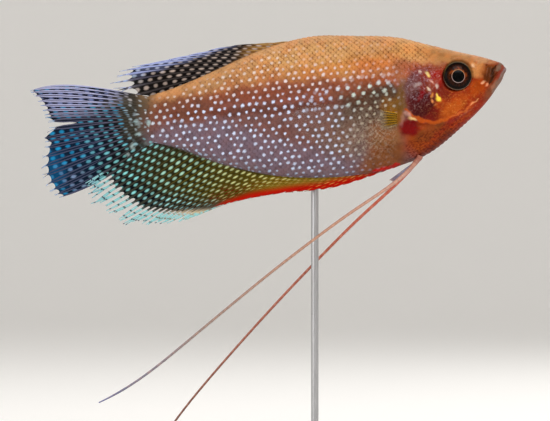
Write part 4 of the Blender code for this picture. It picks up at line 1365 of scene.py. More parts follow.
@dataclass
class Eyes:
    """The two eyes, each a flattened ball seated in its socket."""

    form: BodyForm
    head: HeadForm
    rings: int = 40
    around: int = 72
    seat: float = 0.995
    finish: EyeFinish = EyeFinish()

    def facing(self, side: Side) -> tuple[Vector, Vector]:
        """The skin's point at the middle of an eye, in millimetres, and where the eye looks."""
        back, height = self.head.eye
        step = 0.3

        def point(b: float, h: float) -> Vector:
            """A point of the plain skin on this side."""
            return Vector(in_space(b, side.value * float(self.form.half_width(b, h)), h))

        along = point(back + step, height) - point(back - step, height)
        normal = along.cross(point(back, height + step) - point(back, height - step)).normalized()
        normal = normal if normal.y * side.value > 0 else -normal
        return point(back, height), (normal + Vector((0, side.value, 0))).normalized()

    def build(self) -> list[Object]:
        """Makes both eyes."""
        material = self.finish.material()
        pieces = []
        for side in Side:
            place, gaze = self.facing(side)
            centre = place - gaze * self.head.eye_sunk
            across = Vector((0, 0, 1)).cross(gaze).normalized()
            up = gaze.cross(across)
            turns = np.linspace(0, np.pi, self.rings + 1)[1:-1]
            rounds = np.linspace(0, 2 * np.pi, self.around, endpoint=False)
            radius = np.sin(turns)[:, None]
            disc = np.stack([radius * np.cos(rounds), radius * np.sin(rounds), np.cos(turns)[:, None] + 0 * rounds], -1)
            disc = np.concatenate([[[0, 0, 1]], disc.reshape(-1, 3), [[0, 0, -1]]])
            frame_axes = np.array([across, up, gaze])
            sizes = np.array([self.head.eye_radius, self.head.eye_radius, self.head.eye_depth]) * self.seat
            points = np.array(centre) + (disc * sizes) @ frame_axes
            faces = [[0, 1 + k, 1 + (k + 1) % self.around] for k in range(self.around)]
            faces += ring_quads(self.rings - 1, self.around, 1)[:, INSIDE_OUT].tolist()
            last = len(points) - 1
            start = last - self.around
            faces += [[last, start + (k + 1) % self.around, start + k] for k in range(self.around)]
            mesh = new_mesh(f"eye_{side.label}_wet", points * MM, faces)
            write_attribute(mesh, "Gaze", disc * (1, 1, 0))
            mesh.materials.append(material)
            pieces.append(place_piece(mesh, [f"eye_{side.label}"]))
        return pieces


def walked(headings: Array, length: float) -> tuple[Array, Array]:
    """Places on a line that is drawn in even steps.

    Args:
        headings: Where each step heads, in radians.
        length: The length of the whole line.

    Returns:
        How far along and how far up its start and the end of each step are.
    """
    along, up = (np.concatenate([[0], np.cumsum(way)]) for way in (np.cos(headings), np.sin(headings)))
    return along * length / len(headings), up * length / len(headings)


@dataclass(frozen=True)
class RayPlan:
    """How a fin's rays run, told at a few places across the fin.

    Headings are degrees upwards from straight back, where a ray leaves the body and at its tip. The web is the share
    of a ray that the membrane reaches along. A bend of 1 turns a ray evenly, and a larger one turns it near its tip; it
    is told for the first ray and the last.
    """

    across: tuple[float, ...]
    length: tuple[float, ...]
    root_heading: tuple[float, ...]
    tip_heading: tuple[float, ...]
    web: tuple[float, ...]
    bend: tuple[float, float] = (1.0, 1.0)
    steps: int = 40

    def line(self, place: float, start: tuple[float, float], shares: Array) -> tuple[Array, Array]:
        """Places along a ray.

        Args:
            place: The ray's place across the fin, from 0 to 1.
            start: Its root's back, and height above the floor, in millimetres.
            shares: Shares of the ray's length.

        Returns:
            The back and the height above the floor at each share.
        """
        length = float(through(place, self.across, self.length))
        root = math.radians(float(through(place, self.across, self.root_heading)))
        tip = math.radians(float(through(place, self.across, self.tip_heading)))
        steps = np.linspace(0, 1, self.steps + 1)
        bend = self.bend[0] + (self.bend[1] - self.bend[0]) * place
        heading = root + (tip - root) * ((steps[1:] + steps[:-1]) / 2) ** bend
        along, up = walked(heading, length)
        return start[0] + np.interp(shares, steps, along), start[1] + np.interp(shares, steps, up)


@dataclass(frozen=True)
class FinFinish:
    """A wet fin: dark membrane with a row of pale ovals between each two rays, or the rays themselves."""

    name: str
    rays: bool
    spot_pitch: float = 2.3
    spot_length: float = 0.32
    spot_width: float = 0.26
    slant: float = 0.0
    dash: float = 0.3
    broad_root: float = 0.0
    lean: float = 0.0
    thread: str = "#8f9cc4"
    gaps: float = 0.4

    def material(self) -> Material:
        """Builds the material, which reads the ray's number, the distance along it and how far past the web it is."""
        g = ShaderGraph(self.name)
        row, along, free = g.parts(g.attribute("Fan", "Vector"))
        number = g.math("FLOOR", row)
        across = g.minus(row, number)
        chance = g.node("ShaderNodeTexWhiteNoise", {"W": number}, noise_dimensions="1D").outputs["Value"]
        shift = g.times_plus(number, self.slant, g.times(chance, 0.3))
        place = g.plus(g.math("DIVIDE", along, self.spot_pitch), shift)
        cell = g.math("FLOOR", place)
        within = g.minus(g.minus(place, cell), 0.5)
        pick = g.out("ShaderNodeTexWhiteNoise", {"Vector": g.joined(number, cell)}, noise_dimensions="2D")
        web = g.attribute("Tint")
        pearl = g.attribute("Pearl")
        fibre = g.noise(g.joined(g.times(row, 9.0), g.times(along, 0.6)), 1.0, 3.0, 0.6)
        bent = g.relief(fibre, 0.00004)
        if self.rays:
            band = g.step(g.math("ABSOLUTE", within), self.dash + 0.08, self.dash)
            past = g.step(free, -0.06, 0.1)
            dark = g.times(past, g.minus(1.0, band))
            deeper = g.mix(0.6, pearl, tint(self.thread))
            colour = g.mix(g.times(g.times(band, past), 0.95), web, deeper)
            colour = g.mix(g.times(dark, self.gaps), colour, tint("#15191e"))
        else:
            near = g.step(along, self.broad_root + 1.5, self.broad_root - 1.5) if self.broad_root else 0.0
            odd = g.minus(number, g.times(g.math("FLOOR", g.times(number, 0.5)), 2.0))
            wide = g.times_plus(near, 0.3, self.spot_width)
            side = g.math("DIVIDE", g.minus(across, 0.5), wide)
            length = g.times_plus(near, -0.1, g.times_plus(pick, 0.1, self.spot_length - 0.05))
            wobble = g.times_plus(fibre, 0.3, -0.15 - 0.5 * self.lean)
            ahead = g.plus(within, g.times_plus(across, self.lean, wobble))
            spot = g.step(g.span(side, g.math("DIVIDE", ahead, length)), 1.3, 0.45)
            shown = g.times(g.times_plus(pick, 0.5, 0.5), spot)
            shown = g.times(shown, g.step(along, 0.1, 1.4))
            shown = g.times(shown, g.minus(1.0, g.times(odd, near)))
            streak = g.times(g.step(fibre, 0.5, 0.7), 0.2)
            colour = g.mix(streak, web, g.attribute("Ray"))
            aside = g.math("ABSOLUTE", g.minus(across, 0.5))
            line = g.times(g.times(g.step(aside, 0.3, 0.36), g.step(aside, 0.46, 0.43)), 0.35)
            colour = g.mix(line, colour, g.attribute("Ray"))
            colour = g.mix(shown, colour, pearl)
            bent = g.relief(spot, 0.00003, bent)
        return g.finish(
            Base_Color=colour,
            Roughness=0.42,
            Normal=bent,
            Coat_Weight=0.03,
            Coat_Roughness=0.1,
            Specular_IOR_Level=0.01,
        )


@dataclass(frozen=True)
class ClearFinish:
    """A clear membrane that shows the flank through it, yellow along its rays near the root."""

    name: str
    rays: bool
    cover: float = 0.03

    def material(self) -> Material:
        """Builds the material, which reads the ray's number and the distance along it."""
        g = ShaderGraph(self.name)
        row, along, _ = g.parts(g.attribute("Fan", "Vector"))
        root = g.times(g.step(along, 4.6, 2.0), g.step(row, 6.8, 5.0))
        fibre = g.noise(g.joined(g.times(row, 7.0), along), 1.0, 3.0, 0.6)
        if self.rays:
            colour = g.mix(root, tint("#a89c86"), tint("#e0a60c"))
            cover = g.times_plus(root, 0.8, 0.05)
        else:
            colour = g.mix(root, tint("#9a8f80"), tint("#6e5008"))
            cover = g.times_plus(g.times(root, fibre), 0.9, self.cover)
        bent = g.relief(fibre, 0.00003)
        return g.finish(Base_Color=colour, Roughness=0.3, Normal=bent, Alpha=cover, Specular_IOR_Level=0.1)


@dataclass
class Fin:
    """One fin: a thin closed membrane with scalloped edge, and round rays that branch and run on past it."""

    name: str
    solids: tuple[str, ...]
    plan: RayPlan
    count: int
    root: Callable[[float], tuple[float, float]]
    bow: Callable[[float, Array, Array, Array], Array]
    web_finish: FinFinish | ClearFinish
    ray_finish: FinFinish | ClearFinish
    slot: Slot = Slot.FIN
    columns: int = 6
    steps: int = 44
    stem_steps: int = 14
    branch_steps: int = 18
    plain_steps: int = 26
    web_thickness: float = 0.13
    ray_radius: float = 0.17
    tip_radius: float = 0.05
    notch: float = 0.02
    flank: float = 0.6
    fork: float = 0.5
    splay: float = 0.2
    shrink: float = 0.985
    root_swell: float = 0.0
    swell_reach: float = 3.6
    ridge_width: float = 0.16
    ridge_height: float = 0.1
    branch_share: float = 0.82
    flesh: float = 0.9
    torn: float = 0.0
    uneven_tips: float = 0.0
    stray: float = 0.0

    def places(self, place: float, shares: Array) -> Array:
        """Points along the fin's surface at one place across it, in millimetres."""
        back, height = self.plan.line(place, self.root(place), shares)
        side = self.bow(place, shares, back, height)
        return np.stack([SNOUT[0] - back, side, height], axis=-1)

    def length(self, place: float) -> float:
        """A ray's length in millimetres."""
        return float(through(place, self.plan.across, self.plan.length)) * self.shrink

    def web(self, place: float) -> float:
        """The share of a ray that the membrane reaches along."""
        return float(through(place, self.plan.across, self.plan.web))

    def membrane(self) -> Mesh:
        """The web between the rays, as one closed thin sheet."""
        spread = np.linspace(0, self.count - 1, (self.count - 1) * self.columns + 1)
        tears = np.random.default_rng(self.count).random(self.count) * self.torn
        middle, fan = [], []
        for row in spread:
            place = row / (self.count - 1)
            between = row - math.floor(row)
            web = self.web(place) * self.shrink
            middle_of_gap = 4 * between * (1 - between)
            along_ray = (1 - web) * self.flank * (1 - middle_of_gap) ** 3
            reach = web * (1 - (self.notch + tears[int(row)]) * middle_of_gap) + along_ray
            shares = reach * np.linspace(0, 1, self.steps + 1) ** 0.95
            middle.append(self.places(place, shares))
            fan.append(np.stack([np.full(len(shares), row), shares * self.length(place), shares * 0 - 1], axis=-1))
        middle, fan = np.array(middle), np.array(fan)
        normal = np.cross(np.gradient(middle, axis=1), np.gradient(middle, axis=0))
        normal /= np.maximum(np.linalg.norm(normal, axis=-1, keepdims=True), 1e-9)
        share = np.linspace(0, 1, self.steps + 1)[None, :, None]
        ridge = bump((spread - np.round(spread))[:, None, None], self.ridge_width)
        ridge = ridge * self.ridge_height * (1 - 0.6 * share)
        half = (self.web_thickness * (1 - 0.55 * share) + ridge) / 2
        crown = np.sqrt(1 - (2 * spread / (self.count - 1) - 1) ** 2)[:, None, None]
        half = half + self.root_swell * crown * bump(fan[..., 1:2], self.swell_reach)
        rows, steps = middle.shape[:2]
        points = np.concatenate([(middle + normal * half).reshape(-1, 3), (middle - normal * half).reshape(-1, 3)])
        i = np.arange(rows - 1)[:, None] * steps
        j = np.arange(steps - 1)[None, :]
        front = np.stack([i + j, i + j + 1, i + steps + j + 1, i + steps + j], axis=-1).reshape(-1, 4)
        flip = rows * steps
        border = [r * steps for r in range(rows)]
        border += [(rows - 1) * steps + s for s in range(1, steps)]
        border += [r * steps + steps - 1 for r in range(rows - 2, -1, -1)]
        border += list(range(steps - 2, 0, -1))
        rim = [[a, b, b + flip, a + flip] for a, b in zip(border, border[1:] + border[:1], strict=True)]
        faces = np.concatenate([front, front[:, ::-1] + flip, rim])
        mesh = new_mesh(self.name + "_membrane", points * MM, orient(points, faces))
        write_attribute(mesh, "Fan", np.concatenate([fan.reshape(-1, 3)] * 2))
        return mesh

    def rays(self, material: Material) -> Mesh:
        """The rays, swept along their lines: one stem each, then two branches."""
        points, edges, radii, fan = [], [], [], []
        chance = np.random.default_rng(self.count + 1)

        def add(row: float, shares: Array, drift: Array, scale: float) -> None:
            """Adds one line of a ray, which strays sideways by shares of the space between rays."""
            web = self.web(row / (self.count - 1))
            past = (shares - web) / (1 - web)
            free = np.clip(past, 0, 1)
            aside = (chance.random() - 0.5) * self.stray * free**1.5
            reach = shares - free * (1 - web) * self.uneven_tips * chance.random()
            places = np.clip((row + drift + aside) / (self.count - 1), 0, 1)
            start = len(points)
            for place, share, along, out in zip(places, shares, reach, past, strict=True):
                points.append(self.places(place, np.array([along * self.shrink]))[0])
                radii.append((self.ray_radius + (self.tip_radius - self.ray_radius) * share) * scale)
                radii[-1] *= 1 - 0.6 * float(eased((share - 0.86) / 0.14))
                fan.append((row + 0.001, along * self.length(place), out))
            edges.extend((k, k + 1) for k in range(start, len(points) - 1))

        for row in range(self.count):
            if self.splay:
                add(row, np.linspace(0, self.fork, self.stem_steps), np.zeros(self.stem_steps), 1.0)
                shares = np.linspace(self.fork, 1, self.branch_steps)
                closing = eased((shares - self.web(row / (self.count - 1)) + 0.08) / 0.1)
                apart = eased((shares - self.fork) / 0.3) * self.splay * (1 - 0.7 * closing)
                for way in (-1, 1):
                    add(row, shares, way * apart, self.branch_share)
            else:
                add(row, np.linspace(0, 1, self.plain_steps), np.zeros(self.plain_steps), 1.0)
        source = new_mesh(self.name + "_ray_lines", np.array(points) * MM, edges=edges)
        write_attribute(source, "Thickness", np.array(radii) * MM)
        write_attribute(source, "Fan", np.array(fan))
        return swept(self.name + "_rays", source, material)

    def build(self) -> list[Object]:
        """Makes the membrane and the rays and dresses both."""
        web = self.membrane()
        web.materials.append(self.web_finish.material())
        rays = self.rays(self.ray_finish.material())
        for mesh, ground in ((web, FIN_WEB_TINTS), (rays, FIN_RAY_TINTS)):
            back, height = on_fish(points_of(mesh))
            along = read_vectors(mesh, "Fan")[:, 1:2]
            bare = eased((along - self.flesh * 0.5) / self.flesh)
            body = BODY_TINTS.paint(np.minimum(back, BODY_LENGTH - 0.2), height)
            write_attribute(mesh, "Tint", body + (ground.paint(back, height) - body) * bare)
            write_attribute(mesh, "Pearl", FIN_SPOT_TINTS.paint(back, height))
            write_attribute(mesh, "Ray", FIN_RAY_TINTS.paint(back, height))
        return [place_piece(web, self.solids), place_piece(rays)]


def orient(points: Array, faces: Array) -> Array:
    """Turns a closed mesh's faces outwards, all together."""
    a, b, c = (points[faces[:, k]] for k in range(3))
    d = points[faces[:, 3]]
    volume = (a * np.cross(b, c)).sum() + (a * np.cross(c, d)).sum()
    return faces if volume > 0 else faces[:, ::-1]


def swept(name: str, lines: Mesh, material: Material, sides: int = 6) -> Mesh:
    """Round rods along lines, with the thickness that each point of a line keeps.

    Args:
        name: What the result is called.
        lines: Lines as loose edges, with a Thickness for each point.
        material: What the rods wear.
        sides: Faces round a rod.

    Returns:
        The rods as a plain mesh.
    """
    g = FormGraph("swept_lines", {"Sides": sides}, material)
    curve = g.out("GeometryNodeMeshToCurve", {"Mesh": g.given["Geometry"]})
    profile = g.out("GeometryNodeCurvePrimitiveCircle", {"Resolution": g.given["Sides"], "Radius": 1.0})
    sweep = {"Curve": curve, "Profile Curve": profile, "Scale": g.named("Thickness"), "Fill Caps": True}
    g.close(g.out("GeometryNodeCurveToMesh", sweep))
    return g.run(name, lines)


def ripple(place: float, shares: Array, size: float, waves: float) -> Array:
    """A soft wave across a fin, in millimetres, that grows from its root to its edge."""
    return size * np.sin(waves * 2 * math.pi * place) * shares


def dorsal_fin(form: BodyForm) -> Fin:
    """The fin on the back, laid back as the fish swims."""
    start, end = 51.2, 73.2

    def root(place: float) -> tuple[float, float]:
        """Where a ray leaves the back."""
        back = start + (end - start) * place
        return back, float(axis_height(back) + form.size(back, form.top)) - 0.5

    def bow(place: float, shares: Array, back: Array, height: Array) -> Array:
        """How far the fin leans to the left."""
        return ripple(place, shares, 0.5, 1.2) + 1.2 * place * shares**2

    plan = RayPlan(
        across=(0.0, 0.15, 0.3, 0.45, 0.6, 0.75, 0.88, 1.0),
        length=(4.2, 10.6, 18.2, 24.2, 28.6, 28.2, 24.6, 15.6),
        root_heading=(4, 9, 5, 3, 2, -2, -10, -25),
        tip_heading=(-12, -8, -11, -11, -10, -12, -15, -18),
        web=(0.96, 0.96, 0.95, 0.93, 0.89, 0.83, 0.78, 0.8),
    )
    spots = {"spot_pitch": 2.3, "slant": 0.33, "lean": 0.7, "thread": "#b4c0ea", "gaps": 0.2}
    web = FinFinish("dorsal_web", rays=False, spot_length=0.27, spot_width=0.26, **spots)
    rays = FinFinish("dorsal_rays", rays=True, **spots)
    sizes = {"fork": 0.6, "splay": 0.16, "tip_radius": 0.17, "torn": 0.05, "uneven_tips": 0.5, "stray": 0.7}
    return Fin("dorsal_fin", ("dorsal_fin",), plan, 14, root, bow, web, rays, **sizes)


def anal_fin(form: BodyForm) -> Fin:
    """The long fin under the belly, with its hind rays drawn out into threads."""
    start, end = 27.4, 84.5

    def root(place: float) -> tuple[float, float]:
        """Where a ray leaves the belly."""
        back = start + (end - start) * place
        return back, float(axis_height(back) - form.size(back, form.bottom)) + 0.55

    def bow(place: float, shares: Array, back: Array, height: Array) -> Array:
        """How far the fin leans to the right."""
        return ripple(place, shares, 0.45, 2.5) - 2.6 * place**2 * shares**1.5

    plan = RayPlan(
        across=(0.0, 0.1, 0.2, 0.35, 0.45, 0.6, 0.75, 0.87, 1.0),
        length=(2.4, 8.8, 14.0, 21.4, 25.4, 27.4, 28.4, 26.4, 19.4),
        root_heading=(-28, -27, -19, -18, -22, -29, -35, -37, -36),
        tip_heading=(-24, -23, -17, -20, -28, -31, -32, -29, -28),
        web=(0.96, 0.96, 0.96, 0.95, 0.86, 0.78, 0.74, 0.72, 0.74),
    )
    spots = {"spot_pitch": 2.1, "slant": 0.07, "lean": 0.45, "thread": "#8cc2c2", "gaps": 0.35, "dash": 0.38}
    web = FinFinish("anal_web", rays=False, spot_length=0.29, spot_width=0.26, **spots)
    rays = FinFinish("anal_rays", rays=True, **spots)
    sizes = {"fork": 0.5, "splay": 0.14, "flank": 0.3, "ray_radius": 0.13, "tip_radius": 0.34, "flesh": 0.5}
    sizes |= {"torn": 0.06, "uneven_tips": 0.35, "stray": 1.6}
    return Fin("anal_fin", ("anal_fin",), plan, 39, root, bow, web, rays, **sizes)


def tail_fin() -> Fin:
    """The tail fin, one fan with a shallow fork."""
    back, seat = BODY_LENGTH + GAP, 1.6
    top, bottom = 4.35, -5.75

    def root(place: float) -> tuple[float, float]:
        """Where a ray leaves the tail stem; the lowest start further forward, under it."""
        start = back - seat - 1.8 * float(eased((place - 0.75) / 0.3))
        return start, axis_height(start) + top + (bottom - top) * place

    def bow(place: float, shares: Array, back: Array, height: Array) -> Array:
        """The fin's soft waves, and its sway to the left."""
        return 0.25 * np.sin(place * 7 * math.pi) * shares + (1.6 + 0.8 * place) * shares**2

    reaches = (26.8, 27.7, 27.1, 25.7, 24.7, 24.1, 23.7, 23.5, 23.2, 22.6, 23.1, 23.4, 24.6, 26.6, 27.3, 27.2, 26.4)
    plan = RayPlan(
        across=(0.0, 0.06, 0.12, 0.19, 0.26, 0.33, 0.4, 0.47, 0.478, 0.5, 0.522, 0.53, 0.65, 0.77, 0.88, 0.94, 1.0),
        length=tuple(seat + reach for reach in reaches),
        root_heading=(11, 9.5, 7, 3.5, 1, -1, -1.5, -1, -2, -3, -4, -5, -11, -20, -31, -38, -46),
        tip_heading=(-18, -11, -4, -1, -1, -3, -3.5, -3, -3.5, -5, -7, -8, -11, -19, -22, -20, -16),
        web=(0.98, 0.98, 0.97, 0.96, 0.96, 0.96, 0.95, 0.94, 0.91, 0.74, 0.9, 0.93, 0.94, 0.94, 0.94, 0.95, 0.96),
        bend=(3.0, 1.0),
    )
    spots = {"spot_pitch": 2.4, "slant": 0.14, "thread": "#a2aed0", "gaps": 0.3}
    web = FinFinish("tail_web", rays=False, spot_length=0.26, spot_width=0.25, lean=0.1, broad_root=5.0, **spots)
    rays = FinFinish("tail_rays", rays=True, **spots)
    sizes = {"fork": 0.36, "splay": 0.19, "ray_radius": 0.12, "tip_radius": 0.17, "uneven_tips": 0.3, "stray": 0.5}
    sizes |= {"root_swell": 0.9, "flesh": 2.6, "flank": 0.2, "notch": 0.01, "torn": 0.012, "shrink": 0.995}
    return Fin("tail_fin", ("tail_fin_upper", "tail_fin_lower"), plan, 22, root, bow, web, rays, **sizes)


def pectoral_fins(form: BodyForm) -> list[Fin]:
    """The two clear fins behind the gill covers, held a little out from the flanks."""
    root_back, root_top, root_bottom = 26.2, -7.4, -11.1
    off = GAP + 0.45
    plan = RayPlan(
        across=(0.0, 0.15, 0.35, 0.6, 0.8, 1.0),
        length=(21.0, 25.4, 26.4, 23.0, 18.0, 12.0),
        root_heading=(10, 6, 0, -10, -20, -32),
        tip_heading=(2, 1, -3, -12, -22, -34),
        web=(0.94, 0.96, 0.96, 0.96, 0.95, 0.94),
    )

    def root(place: float) -> tuple[float, float]:
        """Where a ray leaves the flank."""
        return root_back, axis_height(root_back) + root_top + (root_bottom - root_top) * place

    fins = []
    for side in Side:

        def bow(place: float, shares: Array, back: Array, height: Array, side: Side = side) -> Array:
            """How far out from the middle the fin stands on its side."""
            clear = form.half_width(back, height - axis_height(back)) + off
            first = float(form.half_width(root_back, root(place)[1] - axis_height(root_back))) + off
            away = np.clip(back - root_back - 0.8, 0, None)
            return side.value * np.maximum(clear, first + 0.16 * away - 0.0022 * away**2)

        name = f"pectoral_fin_{side.label}"
        web = ClearFinish(name + "_web", rays=False)
        rays = ClearFinish(name + "_rays", rays=True)
        sizes = {"slot": Slot.CLEAR_FIN, "ray_radius": 0.085, "web_thickness": 0.1, "splay": 0.18}
        fins.append(Fin(name, (name,), plan, 9, root, bow, web, rays, **sizes))
    return fins


@dataclass(frozen=True)
class FeelerFinish:
    """A soft wet thread, coloured along its length, with faint rings where its ray is jointed."""

    name: str
    tints: tuple[str, ...]
    places: tuple[float, ...] = (0.0, 0.06, 0.3, 0.7, 0.93, 1.0)

    def material(self) -> Material:
        """Builds the material, which reads how far along the thread a place lies."""
        g = ShaderGraph(self.name)
        _, along, share = g.parts(g.attribute("Fan", "Vector"))
        ramp = g.node("ShaderNodeValToRGB", {0: share})
        ramp.color_ramp.elements.remove(ramp.color_ramp.elements[1])
        for k, (place, code) in enumerate(zip(self.places, self.tints, strict=True)):
            stop = ramp.color_ramp.elements[0] if k == 0 else ramp.color_ramp.elements.new(place)
            stop.position, stop.color = place, tint(code)
        ring = g.math("SINE", g.times(along, RING_RATE))
        cloud = g.noise(g.joined(along, 0.0), 0.7, 3.0)
        colour = g.mix(g.times(g.step(cloud, 0.4, 0.8), 0.35), ramp.outputs[0], tint("#e8b090"))
        colour = g.mix(g.times(g.step(ring, 0.5, 1.0), 0.18), colour, tint("#5a2a18"))
        bent = g.relief(ring, 0.00002)
        return g.finish(Base_Color=colour, Roughness=0.4, Normal=bent, Coat_Weight=0.3, Coat_Roughness=0.15)


@dataclass
class Feeler:
    """One threadlike pelvic fin: a long jointed thread and a few short rays that trail beside its root."""

    side: Side
    form: BodyForm
    length: float
    headings: tuple[float, ...]
    spread: float
    finish: FeelerFinish
    root: float = 20.6
    aside: float = 2.0
    radius: float = 0.44
    end_radius: float = 0.25
    tip_radius: float = 0.14
    bends: tuple[float, ...] = (0.0, 0.1, 0.3, 0.6, 0.85, 1.0)
    coarse_steps: int = 36
    steps: int = 120
    lead: int = 3
    stub_rays: int = 4
    stub_steps: int = 16
    stub_length: float = 8.6
    stub_heading: float = -35.5
    stub_fan: float = 5.5
    stub_radii: tuple[float, float] = (0.24, 0.09)

    def start(self) -> Array:
        """The thread's root on the belly, in millimetres."""
        z = self.form.underside(self.root, self.aside) - GAP - 0.25
        return np.array([SNOUT[0] - self.root, self.side.value * self.aside, z])

    def thread(self) -> tuple[Array, Array]:
        """The thread's middle line and its radii, in millimetres."""
        coarse = np.linspace(0, 1, self.coarse_steps + 1)
        heading = np.radians(through((coarse[1:] + coarse[:-1]) / 2, self.bends, self.headings))
        back, down = walked(heading, self.length)
        shares = np.linspace(0, 1, self.steps)
        out = self.side.value * self.spread * (1 - (1 - shares) ** 1.6)
        path = np.stack([-np.interp(shares, coarse, back), out, -np.interp(shares, coarse, down)], axis=-1)
        radii = self.radius + (self.end_radius - self.radius) * shares**0.7 + 0.3 * np.exp(-shares / 0.04)
        radii *= 1 + 0.04 * np.sin(shares * self.length * RING_RATE)
        tip = shares > 0.94
        radii[tip] = np.linspace(radii[tip][0], self.tip_radius, tip.sum())
        path = self.start() + path
        lead = np.linspace(0.5, 0, self.lead, endpoint=False)
        path = np.concatenate([path[0] + np.outer(lead, (0.35, 0, 1.0)), path])
        return path, np.concatenate([np.full(self.lead, radii[0]), radii])

    def build(self) -> list[Object]:
        """Makes the thread with its short rays and dresses it."""
        path, radii = self.thread()
        points, thick = [path], [radii]
        share = np.concatenate([np.zeros(self.lead), np.linspace(0, 1, self.steps)])
        fan = [np.stack([np.zeros(len(path)), share * self.length, share], axis=-1)]
        for k in range(self.stub_rays):
            spread = k / (self.stub_rays - 1)
            heading = math.radians(self.stub_heading - self.stub_fan * spread)
            start = self.start() + (-0.1 * spread, self.side.value * 0.2, -0.35 - 0.2 * spread)
            ahead = np.array([-math.cos(heading), self.side.value * 0.06, math.sin(heading)])
            steps = np.linspace(0, 1, self.stub_steps)
            points.append(start + np.outer(steps * (self.stub_length - 0.8 * spread), ahead))
            thick.append(self.stub_radii[0] + (self.stub_radii[1] - self.stub_radii[0]) * steps)
            fan.append(np.stack([1.0 + k + 0 * steps, steps * 8, 0.93 + 0 * steps], axis=-1))
        edges, first = [], 0
        for line in points:
            edges += [(i, i + 1) for i in range(first, first + len(line) - 1)]
            first += len(line)
        name = f"pelvic_feeler_{self.side.label}"
        source = new_mesh(name + "_lines", np.concatenate(points) * MM, edges=edges)
        write_attribute(source, "Thickness", np.concatenate(thick) * MM)
        write_attribute(source, "Fan", np.concatenate(fan))
        mesh = swept(name + "_thread", source, self.finish.material(), sides=10)
        return [place_piece(mesh, [name])]


def feelers(form: BodyForm) -> list[Feeler]:
    """The two pelvic feelers: the near one pale, the far one red."""
    near = FeelerFinish("near_feeler", ("#8e4a38", "#b98a78", "#b08068", "#8f7a72", "#6f7088", "#4a5a96"))
    far = FeelerFinish("far_feeler", ("#a83a1c", "#b8482a", "#a84a30", "#94503c", "#7c4a3c", "#6a4840"))
    return [
        Feeler(Side.RIGHT, form, 96.2, (52, 36.5, 36.5, 39.5, 37, 25), 7.0, near),
        Feeler(Side.LEFT, form, 94.0, (54, 44, 45.5, 48, 51, 57), 10.5, far),
    ]


@dataclass(frozen=True)
class WoodFinish:
    """Dark satin wood with its grain along the base."""

    name: str = "dark_wood"
    ring_pitch: float = 0.0032
    pore_pitch: float = 1 / 2400

    def material(self) -> Material:
        """Builds the material."""
        g = ShaderGraph(self.name)
        place = g.stretched((0.09, 1.0, 1.0))
        wave = g.noise(place, 1 / self.ring_pitch, 4.0)
        pores = g.noise(place, 1 / self.pore_pitch)
        colour = g.mix(g.step(wave, 0.35, 0.65), tint("#22140d"), tint("#3f2618"))
        colour = g.mix(g.times(g.step(pores, 0.58, 0.72), 0.6), colour, tint("#120a06"))
        bent = g.relief(pores, 0.00004)
        rough = g.times_plus(wave, 0.2, 0.28)
        return g.finish(Base_Color=colour, Roughness=rough, Normal=bent, Coat_Weight=0.25, Coat_Roughness=0.2)


@dataclass(frozen=True)
class SteelFinish:
    """Brushed steel, drawn along the rod."""

    name: str = "brushed_steel"
    hair_pitch: float = 1 / 9000

    def material(self) -> Material:
        """Builds the material."""
        g = ShaderGraph(self.name)
        hair = g.noise(g.stretched((1.0, 1.0, 0.03)), 1 / self.hair_pitch, 3.0)
        colour = g.mix(hair, tint("#9a9a9c"), tint("#c6c6c8"))
        rough = g.times_plus(hair, 0.2, 0.2)
        return g.finish(Base_Color=colour, Roughness=rough, Normal=g.relief(hair, 0.00002), Metallic=1.0)


@dataclass
class Stand:
    """The flat base and the one short rod, which keep their solid shapes."""

    wood: WoodFinish = WoodFinish()
    steel: SteelFinish = SteelFinish()

    def dress(self, nodes: dict[str, Object]) -> None:
        """Gives the base and the rod their finishes."""
        for name, finish, slot in (("stand_base", self.wood, Slot.WOOD), ("stand_rod", self.steel, Slot.STEEL)):
            nodes[name].material_slots[0].material = finish.material()
            LOG.info("%s: %s", name, finish.name)


@dataclass(frozen=True)
class Lamp:
    """A soft rectangular lamp, with its place and size in millimetres and its power in watts."""

    name: str
    place: tuple[float, float, float]
    size: tuple[float, float]
    power: float

    def hang(self, target: Vector) -> None:
        """Puts the lamp into the scene, facing a point."""
        data = bpy.data.lights.new(self.name, "AREA")
        data.shape = "RECTANGLE"
        data.size, data.size_y = self.size[0] * MM, self.size[1] * MM
        data.energy = self.power
        lamp = into_scene(self.name, data)
        lamp.location = Vector(self.place) * MM
        lamp.rotation_euler = (target * MM - lamp.location).to_track_quat("-Z", "Y").to_euler()


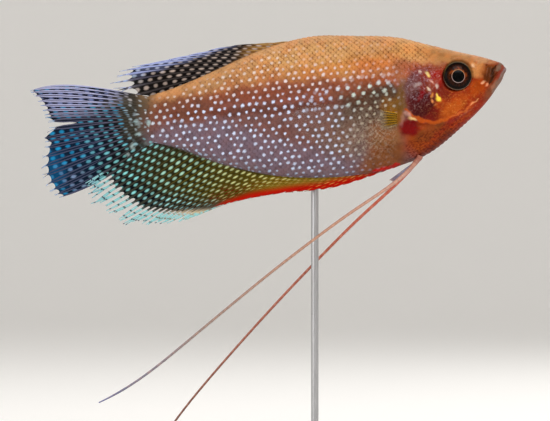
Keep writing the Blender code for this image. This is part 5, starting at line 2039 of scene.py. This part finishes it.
@dataclass
class Studio:
    """A pale seamless bowl, soft lamps and the camera, level with the middle of the model."""

    view_width: float = 132.0
    eye_point: tuple[float, float, float] = (-3.6, -700.0, 67.1)
    sensor: float = 36.0
    sight: tuple[float, float] = (0.01, 20.0)
    bowl_radius: float = 1500.0
    bowl_round: float = 450.0
    bowl_height: float = 1300.0
    bowl_steps: int = 13
    bowl_sides: int = 96
    paper_glow: float = 0.17
    day: float = 0.26
    day_tint: tuple[float, float, float, float] = (1.0, 0.985, 0.965, 1.0)
    aim: tuple[float, float, float] = (0.0, 0.0, 90.0)
    lamps: tuple[Lamp, ...] = (
        Lamp("key", (180, -620, 560), (520, 420), 3.5),
        Lamp("fill", (-620, -420, 220), (420, 520), 1.15),
        Lamp("top", (-40, 160, 620), (520, 300), 1.15),
        Lamp("back", (300, 420, 420), (300, 300), 0.9),
    )

    def bowl(self) -> None:
        """The round floor and the wall all round it, as one curved sheet."""
        turns = np.linspace(0, math.pi / 2, self.bowl_steps)
        out = self.bowl_radius - self.bowl_round * (1 - np.sin(turns))
        up = self.bowl_round * (1 - np.cos(turns))
        profile = [(1.0, 0.0), *zip(out, up, strict=True), (self.bowl_radius, self.bowl_height)]
        rounds = np.linspace(0, 2 * math.pi, self.bowl_sides, endpoint=False)
        points = [(r * math.cos(a), r * math.sin(a), z) for r, z in profile for a in rounds]
        faces = [range(self.bowl_sides), *ring_quads(len(profile), self.bowl_sides)[:, INSIDE_OUT]]
        mesh = new_mesh("pale_bowl", np.array(points) * MM, faces)
        g = ShaderGraph("pale_paper")
        paper = tint("#efedea")
        look = {"Base_Color": paper, "Emission_Color": paper, "Emission_Strength": self.paper_glow}
        mesh.materials.append(g.finish(Roughness=0.9, Specular_IOR_Level=0.2, **look))
        into_scene(mesh.name, mesh)

    def camera(self) -> None:
        """The camera, which looks level along +Y."""
        data = bpy.data.cameras.new("studio_camera")
        data.sensor_width = self.sensor
        data.lens = self.sensor * -self.eye_point[1] / self.view_width
        data.clip_start, data.clip_end = self.sight
        data.dof.use_dof = False
        camera = into_scene("studio_camera", data)
        camera.location = Vector(self.eye_point) * MM
        camera.rotation_euler = (math.pi / 2, 0, 0)
        bpy.context.scene.camera = camera

    def build(self) -> None:
        """Sets the studio up."""
        scene = bpy.context.scene
        world = bpy.data.worlds.new("soft_day")
        scene.world = world
        world.use_nodes = True
        sky = world.node_tree.nodes["Background"]
        sky.inputs["Color"].default_value = self.day_tint
        sky.inputs["Strength"].default_value = self.day
        scene.view_settings.view_transform = "Standard"
        scene.view_settings.look = "None"
        self.bowl()
        for lamp in self.lamps:
            lamp.hang(Vector(self.aim))
        self.camera()


def main() -> None:
    """Builds the model's looks round its solids and reports each piece."""
    logging.basicConfig(level=logging.INFO, format="%(message)s")
    Studio().build()
    form, head = BodyForm(), HeadForm()
    skin = Skin(form, head)
    skin.build()
    Scales(skin).build()
    Eyes(form, head).build()
    for fin in (dorsal_fin(form), anal_fin(form), tail_fin(), *pectoral_fins(form)):
        fin.build()
    for feeler in feelers(form):
        feeler.build()
    Stand().dress(frame["nodes"])


if __name__ == "__main__":
    main()
